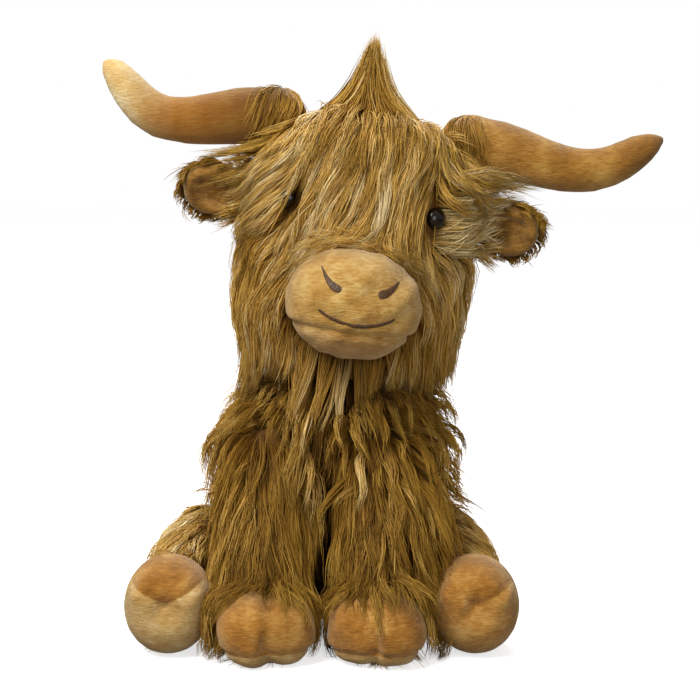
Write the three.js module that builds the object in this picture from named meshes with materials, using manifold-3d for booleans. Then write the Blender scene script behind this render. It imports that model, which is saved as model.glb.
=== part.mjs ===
// A seated plush cow: a stuffed soft toy with long hair and short-pile muzzle, horns and hooves.
// Millimetres, +Z up. The toy sits on z = 0 and faces -Y, and its own left side is +X.
// Every stuffed piece is a lathe-turned spindle, swollen and tapered by shares and laid along a path.
import * as THREE from "three";
import { mergeVertices } from "three/addons/utils/BufferGeometryUtils.js";
import Module from "manifold-3d";

const wasm = await Module();
wasm.setup();

// Fabrics and clearances
const GAP = 0.35; // between pieces that touch
const TURN_GAP = 0.25; // between a ball and the nearest faces of its socket
const LONG_PILE = 7; // long-pile fabric with its hair lying down
const SHORT_PILE = 2.5; // short-pile fabric of muzzle, horns and hooves
const POCKET_WALL = 3; // backing fabric behind a sewn-in limb
const FLAT_CUT = 0.5; // how far the soft forms are pressed flat where they stand
const OVERRUN = 4; // how far a cut runs past what it cuts
const WELD = 0.001; // corners closer than this are one corner

// Torso, a bag that leans to its left and forward at the neck
const TORSO_HEIGHT = 181;
const TORSO_BELOW = 24; // of that height, cut away below the flat seat
const TORSO_HALF_WIDTH = 66;
const TORSO_HALF_DEPTH = 60;
const TORSO_SEAT_Y = 17;
const TORSO_PATH_SHARES = [[0, 0], [0, 0.33], [0.4, 0.63], [1, 1]]; // how far it has leaned and risen
const FLANK_X = 61.9; // the rear legs press the flanks flat here
const TORSO_WIDE_SHARES = [0.9, 0.98, 1.03, 1.04, 1.03, 0.96, 0.4];
const TORSO_DEEP_SHARES = [0.88, 0.95, 1, 0.94, 0.89, 0.79, 0.42];

// Neck, a ball in a cloth socket
const NECK_X = 10;
const NECK_Y = -5;
const NECK_SUNK = 2; // of its centre, below the top of the torso's bag
const NECK_Z = TORSO_HEIGHT - TORSO_BELOW - NECK_SUNK;
const NECK_RADIUS = 32;
const NECK_OPENING_RADIUS = 15;
const BAND_THICKNESS = 1.6;
const BAND_LOW = -10; // degrees of latitude on the neck ball
const BAND_HIGH = 26;
const HEAD_ROLL = 8; // degrees, the crown towards the toy's left

// Seat
const PANEL_HALF_WIDTH = 40;
const PANEL_HALF_DEPTH = 36;
const PANEL_THICKNESS = 2;
const POUCH_HALF_WIDTH = 36;
const POUCH_HALF_DEPTH = 32;
const POUCH_HEIGHT = 46; // of the whole spindle, before its lower side is pressed flat
const POUCH_BELOW = 12;

// Head, in its own frame: the origin is the neck's centre and +Z runs to the crown
const HEAD_HEIGHT = 168;
const HEAD_BELOW = 12; // how far the cheeks reach below the neck's centre
const HEAD_Y = 3;
const HEAD_HALF_WIDTH = 67;
const HEAD_HALF_DEPTH = 60;
const HEAD_WIDE_SHARES = [0.95, 1.04, 1.06, 1.04, 1, 0.95, 0.86];
const HEAD_DEEP_SHARES = [0.92, 1, 1.03, 1.03, 1.02, 1, 0.92];

// Muzzle, which points a little to the toy's left
const MUZZLE_X = 4;
const MUZZLE_Z = 42.5;
const MUZZLE_HALF_WIDTH = 38.5;
const MUZZLE_HALF_HEIGHT = 30.5;
const MUZZLE_BACK_Y = -28;
const MUZZLE_FRONT_Y = -104;
const CHIN_SEAM_Z = 29;
const MUZZLE_SHARES = [0.95, 1, 1, 0.97];

// Embroidery on the muzzle, placed from the muzzle's middle line
const NOSTRIL_INNER_X = 10;
const NOSTRIL_OUTER_X = 22.5;
const NOSTRIL_INNER_Z = 52.5;
const NOSTRIL_RISE = 10.5;
const NOSTRIL_HALF_WIDTH = 2.4;
const MOUTH_HALF_SPAN = 21;
const MOUTH_Z = 34.5;
const MOUTH_RISE = 6;
const NOSTRIL_POINT_SHARES = [0, 0.25, 0.5, 0.75, 1]; // from the inner end to the outer
const MOUTH_POINT_SHARES = [-1, -0.6, 0, 0.6, 1]; // from the middle to either corner
const STITCH_HALF = 1.1; // half the thickness of satin stitch

// Safety eyes
const EYE_X = 41.5;
const EYE_Z = 94;
const EYE_RADIUS = 6;
const EYE_DOME = 4;
const EYE_STEM_RADIUS = 1.6;
const EYE_STEM_LENGTH = 12;
const EYE_SUNK = 1.6; // how far the dome's rim sits in the pile
const WASHER_RADIUS = 5;
const WASHER_THICKNESS = 1.5;
const WASHER_DEPTH = 6.2; // of its outer face, below the fur's surface

// Horns
const HORN_ROOT_X = 58;
const HORN_ROOT_DOWN = 17; // of its root, below the crown
const HORN_ROOT_Z = HEAD_HEIGHT - HEAD_BELOW - HORN_ROOT_DOWN;
const HORN_ROOT_RADIUS = 17;
const HORN_HALF_THICKNESS = 18;
const HORN_DIP = 9;
const HORN_FORWARD = 8;
const HORN_SHARES = [1, 1, 0.9, 0.79, 0.71, 0.64, 0.54];
const HORN_INSIDE = 12.8; // the horn starts this far inside its root ball
const HORN_PATH_SHARES = [
  { out: 0.17, forward: 0, dip: 0.3 },
  { out: 0.5, forward: 0.5, dip: 1 },
  { out: 0.73, forward: 0.8, dip: 0.55 },
]; // between root and tip, of its reach, its forward lean and its dip
const HORN_OPENING_RADIUS = 6;
const LEFT_HORN_REACH = 112;
const LEFT_HORN_RISE = 17;
const LEFT_HORN_LIFT = 1.5; // degrees, as each is posed
const RIGHT_HORN_REACH = 102;
const RIGHT_HORN_RISE = 22;
const RIGHT_HORN_LIFT = -1.5;

// Ears
const EAR_ROOT_X = 71;
const EAR_ROOT_Y = 4;
const EAR_ROOT_Z = 91;
const EAR_ROOT_RADIUS = 8;
const EAR_LENGTH = 35;
const EAR_HALF_HEIGHT = 14.5;
const EAR_HALF_THICKNESS = 8;
const EAR_FOLD = 6; // how far the lining lies forward of the outer
const EAR_HOLLOW_SHARE = 0.78; // size of the fold's hollow against the outer
const LINING_THICKNESS = 2.5;
const EAR_SHARES = [0.72, 1, 1.08, 1.05, 0.9];
const EAR_FORWARD = 8;
const EAR_INSIDE = 4; // the leaf starts this far inside its root ball
const EAR_PATH_SHARES = [[0.5, 0.4], [1, 1]]; // of the length and of the forward lean

// Crown lock, the standing tuft of hair
const LOCK_HALF_WIDTH = 34;
const LOCK_HALF_DEPTH = 26;
const LOCK_BASE_Z = 138;
const LOCK_TIP_Z = 191;
const LOCK_TIP_X = -6;
const LOCK_TIP_Y = -14;
const LOCK_SHARES = [1, 1, 0.86, 0.52, 0.28, 0.2];

// Front legs, from the shoulder ball down and forward to the hoof
const SHOULDER_X = 32.5;
const SHOULDER_Y = -36;
const SHOULDER_Z = 100;
const SHOULDER_RADIUS = 26;
const LEG_HALF_WIDTH = 28.5;
const LEG_HALF_DEPTH = 25;
const LEG_FORWARD = 50;
const LEG_DROP = 87;
const LEG_BEHIND = 14; // the sleeve starts this far behind the shoulder, inside its ball
const LEG_PATH_SHARES = [[0.42, 0.36], [0.8, 0.7], [1, 1]]; // of the way forward and of the drop
const LEG_SHARES = [0.84, 0.94, 0.98, 1, 1.02, 1.02];
const FRONT_HOOF_HEIGHT = 42;
const FRONT_HEEL_X = 33;
const FRONT_HEEL_Y = -64;
const OUTER_TOE_X = 40.3;
const OUTER_TOE_Y = -129;
const OUTER_TOE_HALF = 20.5;
const INNER_TOE_X = 17.5;
const INNER_TOE_Y = -123;
const INNER_TOE_HALF = 20;
const FRONT_TOES = [
  { x: OUTER_TOE_X, y: OUTER_TOE_Y, half: OUTER_TOE_HALF },
  { x: INNER_TOE_X, y: INNER_TOE_Y, half: INNER_TOE_HALF },
];
const TOE_TIP_SHARE = 0.42; // height of a toe's tip against the hoof's
const TOE_WIDE_SHARES = [1.08, 1.07, 1.02, 1];
const TOE_TALL_SHARES = [1, 1, 0.95, 0.86];
const FRONT_SOLE_Z = 9;

// Rear legs, lying beside the torso with their hooves to the front
const REAR_INNER_X = 62.3; // their flat inner faces
const HIP_X = 70;
const HIP_Y = 28;
const HIP_Z = 32;
const THIGH_HALF_WIDTH = 31;
const THIGH_FORWARD = 104;
const THIGH_OUT = 16;
const THIGH_DROP = 4;
const THIGH_PATH_SHARES = [[0.5, 0.55, 0.6], [1, 1, 1]]; // of the way out, forward and down
const THIGH_BEHIND = 16; // the thigh starts this far behind the hip, inside its ball
const THIGH_SHARES = [0.9, 1, 1, 0.95, 0.85, 0.76];
const REAR_HOOF_X = 86.5;
const REAR_HOOF_HALF_WIDTH = 25.5;
const REAR_HOOF_HALF_HEIGHT = 27.5;
const REAR_HOOF_BACK_Y = -50;
const REAR_HOOF_FRONT_Y = -110;
const REAR_HOOF_SHARES = [0.95, 1, 1, 0.97];
const REAR_SEAM_Y = -84;
const REAR_CLEFT_Z = 33;
const REAR_CLEFT_SLOPE = 0.75;

// Tail
const TAIL_ROOT_Y = 72.5;
const TAIL_ROOT_Z = 66;
const TAIL_RADIUS = 6.5;
const TAIL_OUT = 19;
const TAIL_DROP = 36;
const TAIL_PATH_SHARES = [[0, 0], [0.55, 0.08], [0.95, 0.4], [1, 1]]; // of the way out and down
const TAIL_SHARES = [0.95, 1, 1, 0.9, 0.8];
const TUFT_LENGTH = 42;
const TUFT_HALF_WIDTH = 11;
const TUFT_OVERLAP = 18; // how much of the tail's end the tuft wraps
const TUFT_SHARES = [0.8, 1, 1.05, 0.9, 0.6];

const EVEN_SHARES = [1, 1]; // of a form that keeps its thickness

// How finely the forms are divided
const BALL_SIDES = 12;
const BALL_RINGS = 6;
const SOCKET_RINGS = 7; // odd, so that a ring of faces lies on the equator
const BAND_RINGS = 4;
const HALF_SIDE_SHARE = 0.5;
const EYE_SIDES = 12;
const INNER_FINENESS_SHARE = 0.5; // how finely a hidden inner form is divided against its outer one

const V = (x, y, z) => new THREE.Vector3(x, y, z);
const ACROSS = V(1, 0, 0);
const UPRIGHT = V(0, 0, 1);
const ORIGIN = V(0, 0, 0);
const radians = THREE.MathUtils.degToRad;
const { lerp } = THREE.MathUtils;
const curve = (...points) => new THREE.CatmullRomCurve3(points);
const sides = [
  { side: 1, word: "left", reach: LEFT_HORN_REACH, rise: LEFT_HORN_RISE, lift: LEFT_HORN_LIFT },
  { side: -1, word: "right", reach: RIGHT_HORN_REACH, rise: RIGHT_HORN_RISE, lift: RIGHT_HORN_LIFT },
];

// Materials
const finish = (color, roughness) => new THREE.MeshStandardMaterial({ color, roughness, metalness: 0 });
const longPile = () => finish("#a3793c", 0.95);
const shortPile = () => finish("#d3a25a", 0.85);
const orangePile = () => finish("#bd8234", 0.85);
const thread = () => finish("#5b3a17", 0.7);
const cotton = () => finish("#d8c7a2", 0.9);
const fibre = () => finish("#f2efe8", 1);
const eyePlastic = () => finish("#1c120b", 0.15);
const washerPlastic = () => finish("#e6e6e2", 0.5);

// A geometry with its shared corners merged, its collapsed faces dropped and its faces turned out.
function welded(geometry) {
  const bare = geometry.clone();
  bare.deleteAttribute("normal");
  bare.deleteAttribute("uv");
  const merged = mergeVertices(bare, WELD);
  const index = merged.index.array;
  const place = merged.attributes.position;
  const [a, b, c] = [V(0, 0, 0), V(0, 0, 0), V(0, 0, 0)];
  const kept = [];
  let volume = 0;
  for (let i = 0; i < index.length; i += 3) {
    const face = [index[i], index[i + 1], index[i + 2]];
    if (new Set(face).size < face.length) continue;
    kept.push(...face);
    [a, b, c].forEach((corner, k) => corner.fromBufferAttribute(place, face[k]));
    volume += a.dot(b.cross(c));
  }
  if (volume < 0) kept.reverse();
  merged.setIndex(kept);
  return merged;
}

function solidOf(geometry) {
  const { attributes, index } = welded(geometry);
  const vertProperties = new Float32Array(attributes.position.array);
  const triVerts = new Uint32Array(index.array);
  return new wasm.Manifold(new wasm.Mesh({ numProp: 3, vertProperties, triVerts }));
}

function geometryOf(solid) {
  const { numProp, numVert, vertProperties, triVerts } = solid.getMesh();
  const places = new Float32Array(numVert * 3);
  for (let i = 0; i < numVert; i += 1) {
    places.set(vertProperties.subarray(i * numProp, i * numProp + 3), i * 3);
  }
  const geometry = new THREE.BufferGeometry();
  geometry.setAttribute("position", new THREE.BufferAttribute(places, 3));
  geometry.setIndex(Array.from(triVerts));
  geometry.computeVertexNormals();
  return geometry;
}

const joined = (...solids) => solids.reduce((sum, next) => sum.add(next));
const cut = (solid, ...tools) => tools.reduce((rest, tool) => rest.subtract(tool), solid);

// The value at t, from 0 to 1, of a smooth line through evenly spaced shares.
function shareAt(shares, t) {
  const line = new THREE.SplineCurve(shares.map((share, i) => new THREE.Vector2(i, share)));
  return line.getPoint(t).y;
}

// A stuffed form: a unit spindle, turned on a lathe and closed at both ends, laid along a path.
// Its width lies along `across` and its depth square to that. A larger `round` blunts its ends.
function stuffed({ path, across, wide, deep, wideShares, deepShares, round, rings, around }) {
  const profile = [];
  for (let i = 0; i <= rings; i += 1) {
    const t = (1 - Math.cos((Math.PI * i) / rings)) / 2;
    profile.push(new THREE.Vector2(Math.sqrt(Math.max(0, 1 - Math.abs(2 * t - 1) ** round)), t));
  }
  const form = new THREE.LatheGeometry(profile, around);
  const place = form.attributes.position;
  for (let i = 0; i < place.count; i += 1) {
    const t = THREE.MathUtils.clamp(place.getY(i), 0, 1);
    const along = path.getTangentAt(t);
    const right = across.clone().addScaledVector(along, -across.dot(along)).normalize();
    const up = along.clone().cross(right);
    const spot = path.getPointAt(t);
    spot.addScaledVector(right, place.getX(i) * wide * shareAt(wideShares, t));
    spot.addScaledVector(up, place.getZ(i) * deep * shareAt(deepShares ?? wideShares, t));
    place.setXYZ(i, ...spot);
  }
  return welded(form);
}

// The inner form of a stuffed piece, with fewer faces because nobody sees it.
function inner(shape) {
  const rings = Math.round(shape.rings * INNER_FINENESS_SHARE);
  const around = 2 * Math.round((shape.around * INNER_FINENESS_SHARE) / 2);
  return stuffed({ ...shape, rings, around });
}

// The same form with its surface moved out, for a clearance, or in, for a wall.
function shifted(form, distance) {
  const moved = form.clone();
  moved.computeVertexNormals();
  const { position, normal } = moved.attributes;
  const spot = V(0, 0, 0);
  const away = V(0, 0, 0);
  for (let i = 0; i < position.count; i += 1) {
    away.fromBufferAttribute(normal, i);
    spot.fromBufferAttribute(position, i).addScaledVector(away, distance);
    position.setXYZ(i, ...spot);
  }
  return moved;
}

const outside = (shape) => solidOf(stuffed(shape));
const grown = (shape, distance) => solidOf(shifted(stuffed(shape), distance));
const shrunk = (shape, distance) => solidOf(shifted(inner(shape), -distance));

// A faceted ball with its poles above and below, turned by part of a side.
function ball(radius, centre, rings = BALL_RINGS, sideShare = 0) {
  const form = new THREE.SphereGeometry(radius, BALL_SIDES, rings);
  form.rotateX(Math.PI / 2).rotateZ((2 * Math.PI * sideShare) / BALL_SIDES);
  return solidOf(form.translate(...centre));
}

// The corner radius of a faceted hollow whose faces span this many degrees, so that a faceted ball
// turns freely in it.
function hollowRadius(radius, spans) {
  return (radius + TURN_GAP) / (Math.cos(Math.PI / BALL_SIDES) * Math.cos(radians(spans / 2)));
}

// A socket for a faceted ball. Its faces are square to the corners on the ball's equator.
function socket(radius, centre, sideShare = HALF_SIDE_SHARE) {
  return ball(hollowRadius(radius, 180 / SOCKET_RINGS), centre, SOCKET_RINGS, sideShare);
}

// Everything on one side of a plane square to an axis, as far as the toy could reach.
function beyond(axis, place, side) {
  const reach = 2 * (TORSO_HEIGHT + HEAD_HEIGHT);
  const low = V(-reach, -reach, -reach);
  const high = V(reach, reach, reach);
  (side > 0 ? low : high)[axis] = place;
  const middle = low.clone().add(high).multiplyScalar(0.5);
  return solidOf(new THREE.BoxGeometry(...high.sub(low)).translate(...middle));
}

// A lathe-turned solid whose axis is moved from +Y to a direction, with its origin at a place.
function turned(profile, around, direction, place, sideShare = 0) {
  const form = new THREE.LatheGeometry(
    profile.map(([radius, height]) => new THREE.Vector2(radius, height)),
    around,
  );
  form.rotateY((2 * Math.PI * sideShare) / around);
  const turn = new THREE.Quaternion().setFromUnitVectors(V(0, 1, 0), direction);
  return solidOf(form.applyQuaternion(turn).translate(...place));
}

// A round bar of this radius from one height to another on its axis.
function bar(radius, low, high, direction, place) {
  const profile = [[0, low], [radius, low], [radius, high], [0, high]];
  return turned(profile, BALL_SIDES, direction, place);
}

// An upright oval plate.
function oval(halfWidth, halfDepth, low, high, y) {
  const outline = new THREE.Shape().absellipse(0, 0, halfWidth, halfDepth, 0, 2 * Math.PI);
  const options = { depth: high - low, bevelEnabled: false, curveSegments: BALL_SIDES };
  return solidOf(new THREE.ExtrudeGeometry(outline, options).translate(0, y, low));
}

// Where a line from the front, at this x and z, meets a form, and which way the form faces there.
function facePoint(form, x, z) {
  const mesh = new THREE.Mesh(form, new THREE.MeshBasicMaterial({ side: THREE.DoubleSide }));
  const start = V(x, -TORSO_HEIGHT - HEAD_HEIGHT, z);
  const [hit] = new THREE.Raycaster(start, V(0, 1, 0)).intersectObject(mesh);
  return { point: hit.point, out: hit.face.normal.clone() };
}

function node(name, solid, material) {
  const mesh = new THREE.Mesh(geometryOf(solid), material);
  mesh.name = name;
  return mesh;
}

// The torso's outer form, which the legs and the tail are also cut to
const torsoShape = {
  path: curve(
    ...TORSO_PATH_SHARES.map(([lean, rise]) =>
      V(NECK_X * lean, lerp(TORSO_SEAT_Y, NECK_Y, lean), TORSO_HEIGHT * rise - TORSO_BELOW),
    ),
  ),
  across: ACROSS,
  wide: TORSO_HALF_WIDTH,
  deep: TORSO_HALF_DEPTH,
  wideShares: TORSO_WIDE_SHARES,
  deepShares: TORSO_DEEP_SHARES,
  round: 3,
  rings: 10,
  around: 18,
};
const neck = V(NECK_X, NECK_Y, NECK_Z);
const shoulderAt = (side) => V(side * SHOULDER_X, SHOULDER_Y, SHOULDER_Z);
const tailRoot = V(0, TAIL_ROOT_Y, TAIL_ROOT_Z);

// The torso's inside, shrunk from its outside by a wall and held off the shoulder sockets by a margin
function torsoInside(wall, margin) {
  const bag = joined(shrunk(torsoShape, wall), ball(NECK_RADIUS - wall, neck));
  const pockets = sides.map(({ side }) =>
    socket(SHOULDER_RADIUS + margin, shoulderAt(side)),
  );
  const open = bar(NECK_OPENING_RADIUS + LONG_PILE - wall, 0, NECK_RADIUS + OVERRUN, UPRIGHT, neck);
  const flanks = [
    beyond("x", FLANK_X - wall, 1),
    beyond("x", wall - FLANK_X, -1),
    beyond("z", wall, -1),
  ];
  return joined(cut(bag, ...pockets, ...flanks), open);
}

function torsoNodes() {
  const base = (spare, low, high) =>
    oval(PANEL_HALF_WIDTH + spare, PANEL_HALF_DEPTH + spare, low, high, TORSO_SEAT_Y);
  const sockets = [
    ...sides.map(({ side }) => socket(SHOULDER_RADIUS, shoulderAt(side))),
    socket(TAIL_RADIUS, tailRoot),
  ];
  const pressed = [beyond("x", FLANK_X, 1), beyond("x", -FLANK_X, -1), beyond("z", 0, -1)];
  const bag = joined(outside(torsoShape), ball(NECK_RADIUS, neck));
  const shell = cut(
    bag,
    ...pressed,
    ...sockets,
    torsoInside(LONG_PILE, POCKET_WALL),
    base(GAP, -OVERRUN, LONG_PILE + OVERRUN),
  );
  const pouchShape = {
    path: curve(
      V(-POUCH_HALF_WIDTH, TORSO_SEAT_Y, POUCH_HEIGHT / 2 - POUCH_BELOW),
      V(POUCH_HALF_WIDTH, TORSO_SEAT_Y, POUCH_HEIGHT / 2 - POUCH_BELOW),
    ),
    across: V(0, 1, 0),
    wide: POUCH_HALF_DEPTH,
    deep: POUCH_HEIGHT / 2,
    wideShares: EVEN_SHARES,
    round: 2.4,
    rings: 6,
    around: 10,
  };
  const floor = PANEL_THICKNESS + GAP;
  const pouch = cut(outside(pouchShape), beyond("z", floor, -1));
  const filling = torsoInside(LONG_PILE + GAP, POCKET_WALL + GAP).intersect(bag);
  const filled = joined(filling, base(0, floor, LONG_PILE + OVERRUN));
  const stuffing = cut(filled, grown(pouchShape, GAP));
  return [
    node("torso_skin", shell, longPile()),
    node("torso_stuffing", stuffing, fibre()),
    node("pellet_pouch", pouch, cotton()),
    node("base_panel", base(0, 0, PANEL_THICKNESS), orangePile()),
  ];
}

// The folded seam band between torso and head: a zone of a sphere round the neck ball.
const bandInner = hollowRadius(NECK_RADIUS, (BAND_HIGH - BAND_LOW) / BAND_RINGS);
function neckNodes() {
  const arc = (radius, from, to) =>
    Array.from({ length: BAND_RINGS + 1 }, (_, i) => {
      const angle = radians(from + ((to - from) * i) / BAND_RINGS);
      return [radius * Math.cos(angle), radius * Math.sin(angle)];
    });
  const outer = arc(bandInner + BAND_THICKNESS, BAND_LOW, BAND_HIGH);
  const outline = [...outer, ...arc(bandInner, BAND_HIGH, BAND_LOW), outer[0]];
  const band = turned(outline, BALL_SIDES, UPRIGHT, ORIGIN, HALF_SIDE_SHARE);
  return [node("neck_seam_band", band, cotton())];
}

// Head
const headShape = {
  path: curve(V(0, HEAD_Y, -HEAD_BELOW), V(0, HEAD_Y, HEAD_HEIGHT - HEAD_BELOW)),
  across: ACROSS,
  wide: HEAD_HALF_WIDTH,
  deep: HEAD_HALF_DEPTH,
  wideShares: HEAD_WIDE_SHARES,
  deepShares: HEAD_DEEP_SHARES,
  round: 4,
  rings: 10,
  around: 18,
};
const hornRootAt = (side) => V(side * HORN_ROOT_X, HEAD_Y, HORN_ROOT_Z);
const earRootAt = (side) => V(side * EAR_ROOT_X, EAR_ROOT_Y, EAR_ROOT_Z);

// The head's inside, shrunk from its outside by a wall and held off the horns' sockets by a margin.
// The ears' sockets are shallower than the wall.
function headInside(wall, margin) {
  const pockets = sides.map(({ side }) =>
    socket(HORN_ROOT_RADIUS + margin, hornRootAt(side)),
  );
  return cut(shrunk(headShape, wall), ...pockets);
}

function eyeSeat(side) {
  const { point, out } = facePoint(stuffed(headShape), side * EYE_X, EYE_Z);
  return { out, place: point.addScaledVector(out, -EYE_SUNK) };
}

function eyeNodes() {
  return sides.flatMap(({ side, word }) => {
    const { out, place } = eyeSeat(side);
    const dome = [];
    const steps = 3;
    for (let i = 0; i <= steps; i += 1) {
      const angle = (Math.PI / 2) * (i / steps);
      dome.push([EYE_RADIUS * Math.cos(angle), EYE_DOME * Math.sin(angle)]);
    }
    dome[steps][0] = 0;
    const stem = [[0, -EYE_STEM_LENGTH], [EYE_STEM_RADIUS, -EYE_STEM_LENGTH], [EYE_STEM_RADIUS, 0]];
    const eye = turned([...stem, ...dome], EYE_SIDES, out, place);
    const high = EYE_SUNK - WASHER_DEPTH - GAP;
    const disc = bar(WASHER_RADIUS, high - WASHER_THICKNESS, high, out, place);
    const hole = bar(EYE_STEM_RADIUS + GAP, high - WASHER_THICKNESS - OVERRUN, OVERRUN, out, place);
    return [
      node(`eye_${word}`, eye, eyePlastic()),
      node(`eye_washer_${word}`, cut(disc, hole), washerPlastic()),
    ];
  });
}

function headNodes() {
  const neckSocket = socket(bandInner + BAND_THICKNESS, ORIGIN, 0);
  const sockets = sides.flatMap(({ side }) => [
    socket(HORN_ROOT_RADIUS, hornRootAt(side)),
    socket(EAR_ROOT_RADIUS, earRootAt(side)),
  ]);
  const seats = sides.map(({ side }) => eyeSeat(side));
  const washerFace = EYE_SUNK - WASHER_DEPTH;
  const stemEnd = -EYE_STEM_LENGTH - GAP;
  const bores = seats.flatMap(({ out, place }) => [
    bar(EYE_RADIUS + GAP, -GAP, EYE_DOME + OVERRUN, out, place),
    bar(EYE_STEM_RADIUS + GAP, stemEnd, OVERRUN, out, place),
    bar(WASHER_RADIUS + GAP, stemEnd, washerFace, out, place),
  ]);
  const shell = cut(
    outside(headShape),
    headInside(LONG_PILE, POCKET_WALL),
    neckSocket,
    ...sockets,
    ...bores,
  );
  const stuffing = cut(headInside(LONG_PILE + GAP, POCKET_WALL + GAP), neckSocket, ...bores);
  const lockShape = {
    path: curve(
      V(0, 0, LOCK_BASE_Z),
      V(0, 0, (LOCK_BASE_Z + LOCK_TIP_Z) / 2),
      V(LOCK_TIP_X, LOCK_TIP_Y, LOCK_TIP_Z),
    ),
    across: ACROSS,
    wide: LOCK_HALF_WIDTH,
    deep: LOCK_HALF_DEPTH,
    wideShares: LOCK_SHARES,
    round: 5,
    rings: 8,
    around: 12,
  };
  return [
    node("head_skin", shell, longPile()),
    node("head_stuffing", stuffing, fibre()),
    node("crown_lock", cut(outside(lockShape), grown(headShape, GAP)), longPile()),
  ];
}

// Muzzle
const muzzleShape = {
  path: curve(V(0, MUZZLE_BACK_Y, MUZZLE_Z), V(MUZZLE_X, MUZZLE_FRONT_Y, MUZZLE_Z)),
  across: ACROSS,
  wide: MUZZLE_HALF_WIDTH,
  deep: MUZZLE_HALF_HEIGHT,
  wideShares: MUZZLE_SHARES,
  round: 3.2,
  rings: 8,
  around: 16,
};
const muzzleForm = stuffed(muzzleShape);

// A raised line of satin stitch through points on the muzzle's face, given as x and z.
function stitchShape(points, halfWidth) {
  return {
    path: curve(...points.map(([x, z]) => facePoint(muzzleForm, MUZZLE_X + x, z).point)),
    across: V(0, 1, 0),
    wide: STITCH_HALF,
    deep: halfWidth,
    wideShares: EVEN_SHARES,
    round: 3,
    rings: 7,
    around: 5,
  };
}

function muzzleNodes() {
  const nostrils = sides.map(({ side, word }) => {
    const points = NOSTRIL_POINT_SHARES.map((share) => [
      side * lerp(NOSTRIL_INNER_X, NOSTRIL_OUTER_X, share),
      NOSTRIL_INNER_Z + NOSTRIL_RISE * share ** 2,
    ]);
    return { name: `nostril_${word}`, shape: stitchShape(points, NOSTRIL_HALF_WIDTH) };
  });
  const smile = MOUTH_POINT_SHARES.map((share) => [
    share * MOUTH_HALF_SPAN,
    MOUTH_Z + MOUTH_RISE * share ** 2,
  ]);
  const stitches = [...nostrils, { name: "mouth_stitch", shape: stitchShape(smile, STITCH_HALF) }];
  const face = grown(headShape, GAP);
  const grooves = stitches.map(({ shape }) => grown(shape, GAP));
  const wall = cut(outside(muzzleShape), shrunk(muzzleShape, SHORT_PILE), face, ...grooves);
  return [
    node("muzzle_upper", cut(wall, beyond("z", CHIN_SEAM_Z, -1)), shortPile()),
    node("muzzle_chin", cut(wall, beyond("z", CHIN_SEAM_Z - GAP, 1)), shortPile()),
    node("muzzle_stuffing", cut(shrunk(muzzleShape, SHORT_PILE + GAP), face, ...grooves), fibre()),
    ...stitches.map(({ name, shape }) => node(name, outside(shape), thread())),
  ];
}

// One horn, by its reach and its tip's rise. The origin of its own frame is its root ball's centre.
function hornNodes({ side, word, reach, rise }) {
  const shape = {
    path: curve(
      V(-side * HORN_INSIDE, 0, 0),
      ...HORN_PATH_SHARES.map(({ out, forward, dip }) =>
        V(side * reach * out, -HORN_FORWARD * forward, -HORN_DIP * dip),
      ),
      V(side * reach, -HORN_FORWARD, rise),
    ),
    across: V(0, 1, 0),
    wide: HORN_HALF_THICKNESS,
    deep: HORN_HALF_THICKNESS,
    wideShares: HORN_SHARES,
    round: 6,
    rings: 10,
    around: 10,
  };
  const root = (wall) => ball(HORN_ROOT_RADIUS - wall, ORIGIN);
  const outward = V(-side, 0, 0);
  const opening = bar(HORN_OPENING_RADIUS, 0, HORN_ROOT_RADIUS + OVERRUN, outward, ORIGIN);
  const skin = cut(
    joined(outside(shape), root(0)),
    joined(shrunk(shape, SHORT_PILE), root(SHORT_PILE)),
    opening,
  );
  const stuffing = joined(shrunk(shape, SHORT_PILE + GAP), root(SHORT_PILE + GAP));
  return [
    node(`horn_${word}_skin`, skin, shortPile()),
    node(`horn_${word}_stuffing`, stuffing, fibre()),
  ];
}

// One ear in its own frame: a leaf folded round a hollow that opens to the front.
function earNodes(side, word) {
  const leaf = (scale, forward) => ({
    path: curve(
      V(-side * EAR_INSIDE, -forward, 0),
      ...EAR_PATH_SHARES.map(([out, lean]) =>
        V(side * EAR_LENGTH * out, -forward - EAR_FORWARD * lean, 0),
      ),
    ),
    across: UPRIGHT,
    wide: EAR_HALF_HEIGHT * scale,
    deep: EAR_HALF_THICKNESS * scale,
    wideShares: EAR_SHARES,
    round: 3.4,
    rings: 7,
    around: 10,
  });
  const hollow = leaf(EAR_HOLLOW_SHARE, EAR_FOLD);
  const nearRoot = ball(EAR_ROOT_RADIUS + GAP + LINING_THICKNESS, ORIGIN);
  const outer = joined(cut(outside(leaf(1, 0)), outside(hollow)), ball(EAR_ROOT_RADIUS, ORIGIN));
  const fold = leaf(EAR_HOLLOW_SHARE, EAR_FOLD + LINING_THICKNESS);
  const inlay = cut(grown(hollow, -GAP), outside(fold), nearRoot);
  return [
    node(`ear_${word}_outer`, outer, longPile()),
    node(`ear_${word}_lining`, inlay, orangePile()),
  ];
}

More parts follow.
